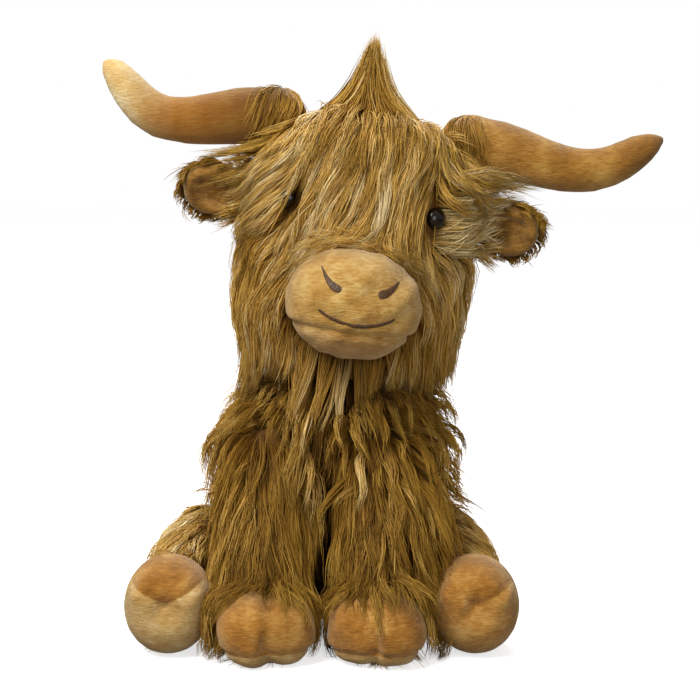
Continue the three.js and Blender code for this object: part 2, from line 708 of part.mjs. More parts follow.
// One front leg, in the toy's frame.
function frontLegNodes(side, word) {
  const shoulder = shoulderAt(side);
  const along = LEG_PATH_SHARES.map(([forward, drop]) => V(0, -LEG_FORWARD * forward, -LEG_DROP * drop));
  const top = shoulder.clone().addScaledVector(along[0].clone().normalize(), -LEG_BEHIND);
  const limb = {
    path: curve(top, ...along.map((step) => step.add(shoulder))),
    across: ACROSS,
    wide: LEG_HALF_WIDTH,
    deep: LEG_HALF_DEPTH,
    wideShares: LEG_SHARES,
    round: 5,
    rings: 8,
    around: 14,
  };
  const toes = FRONT_TOES.map(({ x, y, half }) => ({
    path: curve(
      V(side * FRONT_HEEL_X, FRONT_HEEL_Y, FRONT_HOOF_HEIGHT / 2 - FLAT_CUT),
      V(side * x, y, FRONT_HOOF_HEIGHT * TOE_TIP_SHARE),
    ),
    across: ACROSS,
    wide: half,
    deep: FRONT_HOOF_HEIGHT / 2,
    wideShares: TOE_WIDE_SHARES,
    deepShares: TOE_TALL_SHARES,
    round: 4.5,
    rings: 7,
    around: 10,
  }));
  const inside = (more) =>
    joined(
      cut(
        joined(shrunk(limb, LONG_PILE + more), ball(SHOULDER_RADIUS - LONG_PILE - more, shoulder)),
        grown(torsoShape, GAP + LONG_PILE + more).subtract(
          ball(SHOULDER_RADIUS - LONG_PILE - more, shoulder),
        ),
      ),
      cut(
        joined(...toes.map((toe) => shrunk(toe, SHORT_PILE + more))),
        beyond("z", SHORT_PILE + more, -1),
      ),
    );
  const ground = beyond("z", 0, -1);
  const leg = joined(cut(outside(limb), grown(torsoShape, GAP), ground), ball(SHOULDER_RADIUS, shoulder));
  const hoof = cut(joined(...toes.map(outside)), ground, inside(0));
  const sleeve = cut(leg, inside(0), ...toes.map((toe) => grown(toe, GAP)));
  return [
    node(`front_leg_${word}_sleeve`, sleeve, longPile()),
    node(`front_leg_${word}_stuffing`, inside(GAP), fibre()),
    node(`front_hoof_${word}_upper`, cut(hoof, beyond("z", FRONT_SOLE_Z, -1)), orangePile()),
    node(`front_hoof_${word}_sole`, cut(hoof, beyond("z", FRONT_SOLE_Z - GAP, 1)), shortPile()),
  ];
}

// One rear leg, in the toy's frame. Behind the hip it is round about the hip, so it can swing.
function rearLegNodes(side, word) {
  const hip = V(side * HIP_X, HIP_Y, HIP_Z);
  const roundness = HIP_Z + FLAT_CUT;
  const limb = {
    path: curve(
      hip.clone().add(V(0, THIGH_BEHIND, 0)),
      ...THIGH_PATH_SHARES.map(([out, forward, down]) =>
        hip.clone().add(V(side * THIGH_OUT * out, -THIGH_FORWARD * forward, -THIGH_DROP * down)),
      ),
    ),
    across: ACROSS,
    wide: THIGH_HALF_WIDTH,
    deep: THIGH_HALF_WIDTH,
    wideShares: THIGH_SHARES,
    round: 5,
    rings: 8,
    around: 14,
  };
  const foot = {
    path: curve(
      V(side * REAR_HOOF_X, REAR_HOOF_BACK_Y, REAR_HOOF_HALF_HEIGHT - FLAT_CUT),
      V(side * REAR_HOOF_X, REAR_HOOF_FRONT_Y, REAR_HOOF_HALF_HEIGHT - FLAT_CUT),
    ),
    across: ACROSS,
    wide: REAR_HOOF_HALF_WIDTH,
    deep: REAR_HOOF_HALF_HEIGHT,
    wideShares: REAR_HOOF_SHARES,
    round: 3,
    rings: 8,
    around: 14,
  };
  const pressed = (solid, wall) =>
    cut(solid, beyond("x", side * (REAR_INNER_X + wall), -side), beyond("z", wall, -1));
  const inside = (more) =>
    joined(
      pressed(
        joined(shrunk(limb, LONG_PILE + more), ball(roundness - LONG_PILE - more, hip)),
        LONG_PILE + more,
      ),
      pressed(shrunk(foot, SHORT_PILE + more), SHORT_PILE + more),
    );
  const sleeve = cut(
    pressed(joined(outside(limb), ball(roundness, hip)), 0),
    inside(0),
    grown(foot, GAP),
  );
  const hoof = cut(pressed(outside(foot), 0), inside(0));
  const reach = 2 * REAR_HOOF_HALF_HEIGHT;
  const cleftShape = (spare) => {
    const outline = new THREE.Shape()
      .moveTo(0, REAR_CLEFT_Z - spare)
      .lineTo(reach, REAR_CLEFT_Z - spare + reach * REAR_CLEFT_SLOPE)
      .lineTo(-reach, REAR_CLEFT_Z - spare + reach * REAR_CLEFT_SLOPE);
    const depth = THIGH_FORWARD;
    const prism = new THREE.ExtrudeGeometry(outline, { depth, bevelEnabled: false });
    prism.rotateX(Math.PI / 2).translate(side * REAR_HOOF_X, REAR_SEAM_Y + OVERRUN, 0);
    return solidOf(prism);
  };
  const capPart = joined(beyond("y", REAR_SEAM_Y, 1), cleftShape(0));
  const cleftGap = GAP * Math.hypot(1, REAR_CLEFT_SLOPE);
  const behindSeam = joined(beyond("y", REAR_SEAM_Y - GAP, 1), cleftShape(cleftGap));
  return [
    node(`rear_leg_${word}_sleeve`, sleeve, longPile()),
    node(`rear_leg_${word}_stuffing`, inside(GAP), fibre()),
    node(`rear_hoof_${word}_cap`, hoof.intersect(capPart), orangePile()),
    node(`rear_hoof_${word}_sole`, cut(hoof, behindSeam), shortPile()),
  ];
}

function tailNodes() {
  const at = (out, drop) => tailRoot.clone().add(V(0, TAIL_OUT * out, -TAIL_DROP * drop));
  const cord = {
    path: curve(...TAIL_PATH_SHARES.map(([out, drop]) => at(out, drop))),
    across: ACROSS,
    wide: TAIL_RADIUS,
    deep: TAIL_RADIUS,
    wideShares: TAIL_SHARES,
    round: 8,
    rings: 7,
    around: 8,
  };
  const tuftTop = at(1, 1).add(V(0, 0, TUFT_OVERLAP));
  const tuft = {
    path: curve(tuftTop, tuftTop.clone().add(V(0, 0, -TUFT_LENGTH))),
    across: ACROSS,
    wide: TUFT_HALF_WIDTH,
    deep: TUFT_HALF_WIDTH,
    wideShares: TUFT_SHARES,
    round: 3,
    rings: 7,
    around: 10,
  };
  const root = joined(cut(outside(cord), grown(torsoShape, GAP)), ball(TAIL_RADIUS, tailRoot));
  return [
    node("tail_cord", root, longPile()),
    node("tail_tuft", cut(outside(tuft), grown(cord, GAP)), longPile()),
  ];
}

// Assembly: a group for each frame, nested as the pieces are sewn to each other
function group(place, tilt, children) {
  const made = new THREE.Group();
  made.position.copy(place);
  made.rotation.y = radians(tilt);
  made.add(...children);
  return made;
}

const headParts = [...headNodes(), ...eyeNodes(), ...muzzleNodes()];
for (const sewnOn of sides) {
  const { side, word, lift } = sewnOn;
  headParts.push(group(hornRootAt(side), -side * lift, hornNodes(sewnOn)));
  headParts.push(group(earRootAt(side), 0, earNodes(side, word)));
}
const cow = new THREE.Group();
cow.add(...torsoNodes(), ...tailNodes());
cow.add(group(neck, 0, [...neckNodes(), group(ORIGIN, HEAD_ROLL, headParts)]));
for (const { side, word } of sides) {
  cow.add(...frontLegNodes(side, word), ...rearLegNodes(side, word));
}

export default cow;
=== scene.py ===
"""A seated plush cow with long shaggy hair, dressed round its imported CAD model.

The toy faces -Y, its own left side is +X, and it sits on z = 0. Forms and hair are worked out in
millimetres, as in the CAD source, and turned to metres when a mesh is made. Each long-pile piece is a
backing fabric, sewn and stuffed, with its hair laid over it as tapered strands of real geometry.
"""

import math

import bmesh
import bpy
import numpy as np
from mathutils import Matrix, Vector
from mathutils.bvhtree import BVHTree
from mathutils.kdtree import KDTree

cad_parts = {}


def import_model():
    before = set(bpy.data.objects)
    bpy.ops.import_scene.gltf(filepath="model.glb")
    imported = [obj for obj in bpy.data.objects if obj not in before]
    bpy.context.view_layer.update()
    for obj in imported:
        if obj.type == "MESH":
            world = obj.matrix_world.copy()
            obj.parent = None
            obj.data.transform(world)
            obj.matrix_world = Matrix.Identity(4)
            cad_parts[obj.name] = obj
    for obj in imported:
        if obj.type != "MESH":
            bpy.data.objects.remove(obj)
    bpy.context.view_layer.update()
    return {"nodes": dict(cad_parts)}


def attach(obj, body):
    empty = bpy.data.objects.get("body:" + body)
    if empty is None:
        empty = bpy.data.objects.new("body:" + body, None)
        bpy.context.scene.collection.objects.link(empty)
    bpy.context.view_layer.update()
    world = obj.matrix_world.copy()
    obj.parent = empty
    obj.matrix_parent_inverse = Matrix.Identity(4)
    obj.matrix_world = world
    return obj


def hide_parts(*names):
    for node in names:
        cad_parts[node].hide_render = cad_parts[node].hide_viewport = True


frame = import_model()

MM = 0.001
SIDES = (("left", 1), ("right", -1))

# Camera, as the photograph's viewpoint
CAMERA_DISTANCE = 1100
CAMERA_ELEVATION = 8
CAMERA_TARGET = (16, 0, 160.6)
CAMERA_LENS, CAMERA_SENSOR = 94.3, 36

# Forms, as in the CAD source. HALVES are half of a form's width and half of its depth.
NECK = np.array([10.0, -5.0, 155.0])
NECK_RADIUS = 32
HEAD_ROLL = 8
HEAD_PATH = [(0, 3, -12), (0, 3, 156)]
HEAD_HALVES = (67, 60)
TORSO_PATH = [(0, 17, -24), (0, 17, 35.7), (4, 8.2, 90), (10, -5, 157)]
TORSO_HALVES = (66, 60)
FLANK_X = 61.5
HORN_ROOT = (58, 3, 139)
HORN_RADIUS = 18
HORN_TIPS = {"left": (112, 17), "right": (102, 22)}  # how far out and how far up
HORN_LIFT = 1.5
EAR_ROOT = (71, 4, 91)
EAR_LENGTH = 35
EAR_HALVES = (14.5, 8)
EAR_LEAN = 0.2  # how far forward the ear's face turns, as a slope
SHOULDER = (32.5, -36, 100)
LEG_FORWARD, LEG_DROP = 50, 87
LEG_HALVES = (28.5, 25)
FRONT_TOES = ((40.3, -129, 20.5), (17.5, -123, 20))  # each toe's tip in x and y, and half its width
FRONT_SOLE_Z = 9
HIP = (70, 28, 32)
THIGH_RADIUS = 31
THIGH_INNER_X, REAR_HOOF_INNER_X = 62.4, 62.5
REAR_HOOF_X, REAR_HOOF_Z = 86.5, 27
REAR_HOOF_HALVES = (25.5, 27.5)
REAR_SEAM_Y = -84
REAR_CLEFT_Z, REAR_CLEFT_SLOPE = 33, 0.5
TAIL_ROOT = (0, 72.5, 66)
TAIL_OUT, TAIL_DROP = 19, 36
TAIL_RADIUS = 6.5
EYE = (41.5, 94)
EYE_RADIUS = 6.4
MUZZLE_X, MUZZLE_Z = 4, 42.5
MUZZLE_BACK, MUZZLE_FRONT = -28, -104
MUZZLE_HALVES = (38.5, 30.5)
CHIN_SEAM_Z = 29
NOSTRIL = [(10 + 12.5 * share, 52.5 + 10.5 * share**2) for share in (0, 0.25, 0.5, 0.75, 1)]
MOUTH = [(21 * share, 34.5 + 6 * share**2) for share in (-1, -0.6, 0, 0.6, 1)]
LOCK_TIP = (-6, -14, 191)
LOCK_FOOT = (54, 35)  # half of its foot's width and depth
LOCK_HEIGHTS = (0, 0.09, 0.2, 0.33, 0.53, 0.73, 0.87, 1)  # of its rise
LOCK_WIDTHS = (1, 0.86, 0.66, 0.42, 0.235, 0.13, 0.075, 0.02)  # of its width, at those heights
PILE = 6.0  # depth of the lying hair: the backing lies this far below the CAD surface

# How stuffed pieces are filled: the cloth simulation's pressure, stiffness and length
FILL_PRESSURE = 4.0
FILL_STIFFNESS = 18
FILL_FRAMES = 20
SEAM_ANGLE = 50  # degrees, above which an edge left by a seam stays sharp


# Small helpers


def spline(values, at):
    """A smooth line through evenly spaced values, at shares of its way from 0 to 1."""
    values = np.asarray(values, float)
    last = len(values) - 1
    place = np.clip(at, 0, 1) * last
    low = np.minimum(place.astype(int), last - 1)
    part = (place - low).reshape((-1,) + (1,) * (values.ndim - 1))
    before, here = values[np.maximum(low - 1, 0)], values[low]
    there, after = values[low + 1], values[np.minimum(low + 2, last)]
    leave, arrive = (there - before) / 2, (after - here) / 2
    cubic = (2 * here - 2 * there + leave + arrive) * part**3
    return cubic + (3 * there - 3 * here - 2 * leave - arrive) * part**2 + leave * part + here


def unit(vectors):
    return vectors / np.maximum(np.linalg.norm(vectors, axis=-1, keepdims=True), 1e-9)


def ways_of(*parts):
    """One way for each point, from its three parts. A part may be one value for all points."""
    return np.stack(np.broadcast_arrays(*parts), axis=1)


def dip(distance, width):
    """1 at no distance, falling off like a bell of this width."""
    return np.exp(-((distance / width) ** 2))


def ease(value, start, end):
    """0 before start, 1 past end, smooth between. start may be the larger."""
    share = np.clip((value - start) / (end - start), 0, 1)
    return share * share * (3 - 2 * share)


def along_path(path, at):
    """Points and directions at equal shares of a path's length."""
    fine = np.linspace(0, 1, 241)
    points = spline(path, fine)
    run = np.concatenate([[0], np.cumsum(np.linalg.norm(np.diff(points, axis=0), axis=1))])
    where = np.interp(np.clip(at, 0, 1) * run[-1], run, fine)
    ahead, behind = np.clip(where + 1e-3, 0, 1), np.clip(where - 1e-3, 0, 1)
    return spline(path, where), unit(spline(path, ahead) - spline(path, behind))


def turn_y(degrees):
    angle = math.radians(degrees)
    c, s = math.cos(angle), math.sin(angle)
    return np.array([[c, 0, s], [0, 1, 0], [-s, 0, c]])


HEAD_TURN = turn_y(HEAD_ROLL)


def at_side(place, side):
    """A place that is given for the toy's left, on either side."""
    return np.array(place) * (side, 1, 1)


def head_to_row(points):
    return np.asarray(points, float) @ HEAD_TURN.T + NECK


def row_to_head(points):
    return (np.asarray(points, float) - NECK) @ HEAD_TURN


def linked(name, data):
    obj = bpy.data.objects.new(name, data)
    bpy.context.scene.collection.objects.link(obj)
    return obj


def object_of(name, shape):
    """An object in metres from a bmesh in millimetres, which is used up."""
    bmesh.ops.scale(shape, verts=shape.verts, vec=(MM, MM, MM))
    mesh = bpy.data.meshes.new(name)
    shape.to_mesh(mesh)
    shape.free()
    return linked(name, mesh)


def vertex_rows(obj, kind):
    flat = np.empty(len(obj.data.vertices) * 3)
    obj.data.vertices.foreach_get(kind, flat)
    return flat.reshape(-1, 3)


def corners(obj):
    """An object's mesh vertices in millimetres."""
    return vertex_rows(obj, "co") / MM


def put_corners(obj, points):
    obj.data.vertices.foreach_set("co", (np.asarray(points) * MM).ravel())
    obj.data.update()


def normals_of(obj):
    return vertex_rows(obj, "normal")


def stuffed(
    shape, path, wide, deep, wide_shares, deep_shares=None, across=(1, 0, 0), blunt=3, rings=20, around=28
):
    """Adds a stuffed form to a bmesh: a ball swollen by shares and laid along a path."""
    made = bmesh.ops.create_uvsphere(shape, u_segments=around, v_segments=rings, radius=1)["verts"]
    ball = np.array([v.co for v in made])
    at = (ball[:, 2] + 1) / 2
    spots, ways = along_path(path, at)
    right = unit(np.array(across, float) - ways * (ways @ np.array(across, float))[:, None])
    up = np.cross(ways, right)
    swell = np.sqrt(np.clip(1 - np.abs(2 * at - 1) ** blunt, 0, 1))
    round_it = unit(ball[:, :2])
    widths = round_it[:, :1] * (swell * wide * spline(wide_shares, at))[:, None]
    depths = round_it[:, 1:] * (swell * deep * spline(deep_shares or wide_shares, at))[:, None]
    for vert, place in zip(made, spots + right * widths + up * depths):
        vert.co = place
    return made


def ball_at(shape, centre, radius):
    made = bmesh.ops.create_uvsphere(shape, u_segments=24, v_segments=16, radius=radius)["verts"]
    bmesh.ops.translate(shape, verts=made, vec=centre)
    return made


def apply_modifiers(obj):
    graph = bpy.context.evaluated_depsgraph_get()
    mesh = bpy.data.meshes.new_from_object(obj.evaluated_get(graph), depsgraph=graph)
    obj.modifiers.clear()
    old, obj.data = obj.data, mesh
    bpy.data.meshes.remove(old)
    obj.data.name = obj.name


def sewn(name, shape, voxel=4.0, relax=6, inset=0.0, flat=None):
    """One even closed surface round everything in a bmesh, with the joins relaxed as sewn fabric."""
    bmesh.ops.recalc_face_normals(shape, faces=shape.faces)
    obj = object_of(name, shape)
    remesh = obj.modifiers.new("remesh", "REMESH")
    remesh.mode, remesh.voxel_size = "VOXEL", voxel * MM
    smooth = obj.modifiers.new("relax", "SMOOTH")
    smooth.factor, smooth.iterations = 0.5, relax
    apply_modifiers(obj)
    if inset:
        put_corners(obj, corners(obj) - normals_of(obj) * inset)
    if flat:
        put_corners(obj, flat(corners(obj)))
    obj.data.shade_smooth()
    return obj


def smoother(obj):
    """One level of subdivision, after which the sewn surface no longer shows its grid."""
    finer = obj.modifiers.new("finer", "SUBSURF")
    finer.levels = finer.render_levels = 1
    apply_modifiers(obj)
    obj.data.shade_smooth()
    return obj


def puffed(obj, most):
    """Fills a sewn piece by a short cloth simulation, with no point moving further than most."""
    before = corners(obj)
    scene = bpy.context.scene
    cloth = obj.modifiers.new("fill", "CLOTH")
    cloth.settings.use_pressure = True
    cloth.settings.uniform_pressure_force = FILL_PRESSURE
    cloth.settings.effector_weights.gravity = 0
    cloth.settings.tension_stiffness = cloth.settings.compression_stiffness = FILL_STIFFNESS
    cloth.point_cache.frame_start, cloth.point_cache.frame_end = 1, FILL_FRAMES
    for step in range(1, FILL_FRAMES + 1):
        scene.frame_set(step)
    apply_modifiers(obj)
    scene.frame_set(1)
    moved = corners(obj) - before
    far = np.linalg.norm(moved, axis=1, keepdims=True)
    put_corners(obj, before + moved * np.minimum(1, most / np.maximum(far, 1e-9)))
    return smoother(obj)


def pressed(obj, shift):
    """Moves a piece's surface by what shift gives for its points and normals."""
    places = corners(obj)
    put_corners(obj, places + shift(places, normals_of(obj)))


def parted(whole, names, cutter):
    """Parts a sewn form along a seam: what lies in the cutter takes the first name."""
    bmesh.ops.recalc_face_normals(cutter, faces=cutter.faces)
    tool = object_of("cutter", cutter)
    parts = []
    for name, operation in zip(names, ("INTERSECT", "DIFFERENCE")):
        part = linked(name, whole.data.copy())
        knife = part.modifiers.new("seam", "BOOLEAN")
        knife.operation, knife.object = operation, tool
        knife.solver, knife.use_self = "EXACT", True
        apply_modifiers(part)
        part.data.set_sharp_from_angle(angle=math.radians(SEAM_ANGLE))
        parts.append(part)
    for used in (tool, whole):
        bpy.data.objects.remove(used)
    return parts


def block(cutter, low, high):
    """Adds a box to a cutter."""
    made = bmesh.ops.create_cube(cutter, size=1)["verts"]
    low, high = Vector(low), Vector(high)
    bmesh.ops.scale(cutter, verts=made, vec=high - low)
    bmesh.ops.translate(cutter, verts=made, vec=(low + high) / 2)
    return made


def near_line(points, line):
    """Each point's distance from a line of points, all in the same two or three coordinates."""
    line = np.asarray(line, float)
    best = np.full(len(points), np.inf)
    for start, end in zip(line[:-1], line[1:]):
        step = end - start
        share = np.clip((points - start) @ step / (step @ step), 0, 1)
        best = np.minimum(best, np.linalg.norm(points - start - share[:, None] * step, axis=1))
    return best


def tree_of(*objects):
    """One search tree over the surfaces of several objects, in millimetres."""
    places, faces, start = [], [], 0
    for obj in objects:
        own = corners(obj)
        places.extend(map(tuple, own))
        faces.extend([start + i for i in face.vertices] for face in obj.data.polygons)
        start += len(own)
    return BVHTree.FromPolygons(places, faces)


# Materials


def colour(text):
    """An sRGB hex colour as the linear values that a socket takes."""
    parts = [int(text[i : i + 2], 16) / 255 for i in (1, 3, 5)]
    return [c / 12.92 if c <= 0.04045 else ((c + 0.055) / 1.055) ** 2.4 for c in parts] + [1.0]


def add(owner, kind, settings=None, links=None):
    """Adds a node to a material or a world, with its settings, and its inputs set or linked."""
    tree = owner.node_tree
    node = tree.nodes.new(kind)
    for key, value in (settings or {}).items():
        setattr(node, key, value)
    for key, value in (links or {}).items():
        if isinstance(value, bpy.types.NodeSocket):
            tree.links.new(value, node.inputs[key])
        else:
            node.inputs[key].default_value = value
    return node


def new_material(name):
    material = bpy.data.materials.new(name)
    material.use_nodes = True
    material.node_tree.nodes.clear()
    return material


def object_place(material):
    """The place on a piece in its own metres, so that its pile or weave moves with it."""
    return add(material, "ShaderNodeTexCoord").outputs["Object"]


def noise(material, place, scale, detail=2.0, roughness=0.5):
    """Noise of this many waves to the metre: a value and a colour."""
    links = {"Vector": place, "Scale": scale, "Detail": detail, "Roughness": roughness}
    return add(material, "ShaderNodeTexNoise", None, links).outputs


def ramp(material, share, pairs):
    """The colours of a ramp's stops, given as (place, hex colour), at a share of its length."""
    node = add(material, "ShaderNodeValToRGB", None, {"Fac": share})
    elements = node.color_ramp.elements
    while len(elements) < len(pairs):
        elements.new(0.5)
    for element, (place, text) in zip(elements, pairs):
        element.position, element.color = place, colour(text)
    return node.outputs["Color"]


def mixed(material, factor, one, other, data="RGBA", blend="MULTIPLY"):
    """Two colours multiplied, or else blended, by as much as the factor says."""
    settings = {"data_type": data, "blend_type": blend}
    links = {"Factor": factor, "A": one, "B": other}
    return add(material, "ShaderNodeMix", settings, links).outputs["Result"]


def relief(material, height, strength, distance, under=None):
    """The normals of a height this far in metres, over other normals where they are given."""
    links = {"Height": height, "Strength": strength, "Distance": distance}
    if under is not None:
        links["Normal"] = under
    return add(material, "ShaderNodeBump", None, links).outputs["Normal"]


def surface(material, base, roughness, **links):
    """Ends a material in a Principled shader. Its sockets' names are given with _ for a space."""
    links = {key.replace("_", " "): value for key, value in links.items()}
    links.update({"Base Color": base, "Roughness": roughness})
    shader = add(material, "ShaderNodeBsdfPrincipled", None, links)
    add(material, "ShaderNodeOutputMaterial", None, {"Surface": shader.outputs["BSDF"]})
    return material


def long_pile(name):
    """Long polyester pile, combed and curled: silky straw locks, each of its own tone, darkened towards
    their roots by painted shade deep in the coat. The map's first value is the lock's tone and its second
    runs from root to tip."""
    material = new_material(name)
    place = add(material, "ShaderNodeUVMap", {"uv_map": "OFBake"}).outputs["UV"]
    split = add(material, "ShaderNodeSeparateXYZ", None, {"Vector": place}).outputs
    tones = [(0, "#65440f"), (0.3, "#9d7427"), (0.55, "#c39942"), (0.8, "#edc671"), (1, "#fff2c4")]
    # Painted shade: each strand darkens from tip to root, as the coat shades itself deep down
    depths = [(0, "#a08a66"), (0.25, "#d2c2a4"), (0.6, "#f8f2e6"), (1, "#ffffff")]
    return surface(
        material,
        mixed(material, 1.0, ramp(material, split["X"], tones), ramp(material, split["Y"], depths)),
        0.5,
        Specular_IOR_Level=0.3,
        Specular_Tint=colour("#ffe2a8"),
        Sheen_Weight=0.12,
        Sheen_Roughness=0.4,
        Sheen_Tint=colour("#ffdfa4"),
    )


def short_pile(name, deep, middle, light, patch=0.02, ripple=0.35, along=None):
    """Short brushed velour: its pile leans one way or another in patches, which turns it lighter or deeper,
    with fine ripples across where it was stroked. along gives tints from the toy's middle outwards, as
    (metres, hex colour), which multiply the colour: painted shade that darkens a long piece towards its
    root, with partly the pile's own browner root."""
    material = new_material(name)
    place = object_place(material)
    patches = noise(material, place, 1 / patch, 3.0, 0.55)["Fac"]
    stretched = add(material, "ShaderNodeMapping", None, {"Vector": place, "Scale": (0.45, 0.45, 1.9)})
    ripples = noise(material, stretched.outputs["Vector"], 520.0, 4.0, 0.65)["Fac"]
    fluff = noise(material, place, 1500.0, 3.0, 0.7)["Fac"]
    both = mixed(material, ripple, patches, ripples, "FLOAT", "MIX")
    shade = ramp(material, both, [(0.37, deep), (0.5, middle), (0.63, light)])
    if along:
        near, far = along[0][0], along[-1][0]
        split = add(material, "ShaderNodeSeparateXYZ", None, {"Vector": place})
        out = add(material, "ShaderNodeMath", {"operation": "ABSOLUTE"}, {0: split.outputs["X"]})
        limits = {"Value": out.outputs["Value"], "From Min": near, "From Max": far}
        span = add(material, "ShaderNodeMapRange", None, limits).outputs["Result"]
        tints = [((at - near) / (far - near), text) for at, text in along]
        shade = mixed(material, 1.0, shade, ramp(material, span, tints))
    nap = relief(material, ripples, 0.8, 0.0014)
    return surface(
        material,
        shade,
        0.85,
        Specular_IOR_Level=0.2,
        Sheen_Weight=0.55,
        Sheen_Roughness=0.45,
        Sheen_Tint=colour("#fff0d0"),
        Normal=relief(material, fluff, 0.6, 0.0006, nap),
    )


def plain_cloth(name, base, thread, bump=0.5):
    """Plain woven or knitted cloth: threads of this width in metres, with their small shadows."""
    material = new_material(name)
    weave = noise(material, object_place(material), 1 / thread, 2.0, 0.6)
    tone = mixed(material, 0.35, colour(base), weave["Color"])
    normal = relief(material, weave["Fac"], bump, thread / 2)
    return surface(material, tone, 0.95, Specular_IOR_Level=0.2, Normal=normal)


def eye_plastic():
    """Moulded acrylic safety eye: near black with a brown depth and a hard wet gloss."""
    material = new_material("moulded_acrylic_eye")
    cloud = noise(material, object_place(material), 260.0)["Fac"]
    tone = ramp(material, cloud, [(0.35, "#0b0705"), (0.7, "#24150b")])
    return surface(material, tone, 0.08, Specular_IOR_Level=0.35, Coat_Weight=0.4, Coat_Roughness=0.03)


def satin_thread():
    """Rayon embroidery thread in satin stitch: dark brown, with a low silky shine across the stitch."""
    material = new_material("rayon_satin_stitch")
    links = {"Vector": object_place(material), "Scale": (1.0, 0.3, 0.3)}
    turned = add(material, "ShaderNodeMapping", None, links).outputs["Vector"]
    strands = noise(material, turned, 1400.0)["Fac"]
    tone = ramp(material, strands, [(0.3, "#2c1b07"), (0.7, "#6a4418")])
    return surface(material, tone, 0.5, Sheen_Weight=0.1, Normal=relief(material, strands, 0.7, 0.0004))


FUR = long_pile("long_polyester_pile")
# The backing's deep brown is painted shade: the real backing is tan like the pile, and shows only in the
# coat's shaded gaps
BACKING_IN_SHADE = plain_cloth("knitted_backing_in_shade", "#7a5524", 0.0012)
# The toy's right horn darkens towards its root by these tints: painted shade where the head and its hair
# overhang it, and partly the pile's own browner root
HORN_ROOT_SHADE = [(0.03, "#88733e"), (0.085, "#b18848"), (0.118, "#ffffff")]
HORN_PILE = short_pile("brushed_velour_horn", "#d09e54", "#ecc680", "#ffe8b4", 0.03, 0.3, HORN_ROOT_SHADE)
# A darker copy of the horn velour for the toy's left horn: partly its pile laid the other way, partly
# painted shade on the side away from the key light
STROKED_AND_SHADED_HORN = short_pile("brushed_velour_horn_stroked_and_shaded", "#865619", "#a87429", "#cc9c4c", 0.03, 0.35)
MUZZLE_PILE = short_pile("brushed_velour_muzzle", "#ab7931", "#c4964a", "#dab670", 0.012, 0.5)
CHIN_PILE = short_pile("brushed_velour_chin", "#9c7136", "#b98d4c", "#d3ad72", 0.012, 0.5)
SOLE_PILE = short_pile("brushed_velour_sole", "#b28644", "#cca462", "#e2c78e", 0.014, 0.5)
# A darker copy of the sole velour for the toy's left rear sole: partly its pile laid the other way, partly
# painted shade on the side away from the key light
STROKED_AND_SHADED_SOLE = short_pile("brushed_velour_sole_stroked_and_shaded", "#94601b", "#b47c30", "#d0a35a", 0.016, 0.45)
ORANGE_PILE = short_pile("brushed_velour_orange", "#95601a", "#b47a2d", "#cf9c4e", 0.014, 0.45)
LINING_PILE = short_pile("brushed_velour_ear_lining", "#6e4a14", "#9a6c28", "#bd8d44", 0.01, 0.45)
COTTON = plain_cloth("cotton_calico", "#d8c7a2", 0.0006)
BASE_CLOTH = plain_cloth("woven_base_cloth", "#b8863f", 0.0007)
WASHER_PLASTIC = plain_cloth("moulded_nylon_washer", "#e6e6e2", 0.0008, 0.1)
EYE_PLASTIC = eye_plastic()
THREAD = satin_thread()


def finish_piece(obj, material, body, nodes=()):
    obj.data.materials.clear()
    obj.data.materials.append(material)
    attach(obj, body)
    if nodes:
        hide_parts(*nodes)
    return obj


# Stuffed forms


def raised(points, floor):
    """Points held at or above this height."""
    points[:, 2] = np.maximum(points[:, 2], floor)
    return points


def onto_head(verts):
    for vert in verts:
        vert.co = head_to_row(vert.co)


def torso_form():
    shape = bmesh.new()
    widths = [0.9, 0.98, 1.03, 1.04, 1.03, 0.96, 0.4]
    depths = [0.88, 0.95, 1, 0.94, 0.89, 0.79, 0.42]
    stuffed(shape, TORSO_PATH, *TORSO_HALVES, widths, depths)
    ball_at(shape, NECK, NECK_RADIUS)

    def seated(points):
        points[:, 0] = np.clip(points[:, 0], -FLANK_X + PILE, FLANK_X - PILE)
        return raised(points, 2.6)

    return sewn("torso_backing", shape, 4, 6, PILE, seated)


def head_form():
    shape = bmesh.new()
    widths = [0.95, 1.04, 1.06, 1.04, 1, 0.95, 0.86]
    depths = [0.92, 1, 1.03, 1.03, 1.02, 1, 0.92]
    stuffed(shape, HEAD_PATH, *HEAD_HALVES, widths, depths, blunt=4, rings=28, around=36)
    onto_head(shape.verts)
    return sewn("head_backing", shape, 4, 4, PILE)


def muzzle_form():
    shape = bmesh.new()
    path = [(0, MUZZLE_BACK, MUZZLE_Z), (MUZZLE_X, MUZZLE_FRONT, MUZZLE_Z)]
    stuffed(shape, path, *MUZZLE_HALVES, [0.95, 1, 1, 0.97], blunt=3.2, rings=28, around=40)
    onto_head(shape.verts)
    form = puffed(sewn("muzzle_velour", shape, 4, 3), 2.5)

    def drawn_in(points, ways):
        """The embroidery and the chin's seam pull the velour in."""
        x, y, z = row_to_head(points).T
        flat = np.stack([x - MUZZLE_X, z], axis=1)
        front = ease(-y, 60, 80)
        depth = 2.6 * dip(z - CHIN_SEAM_Z, 2.0) + front * dip(near_line(flat, MOUTH), 3.2)
        for _, side in SIDES:
            line = [(side * a, b) for a, b in NOSTRIL]
            depth = depth + front * 1.8 * dip(near_line(flat, line), 5.5)
        lumps = 0.5 * np.sin(0.19 * x + 1.1) * np.sin(0.23 * z + 0.4)
        lumps = lumps + 0.3 * np.sin(0.41 * x - 0.33 * z)
        return ways * (lumps - depth)[:, None]

    pressed(form, drawn_in)
    return form


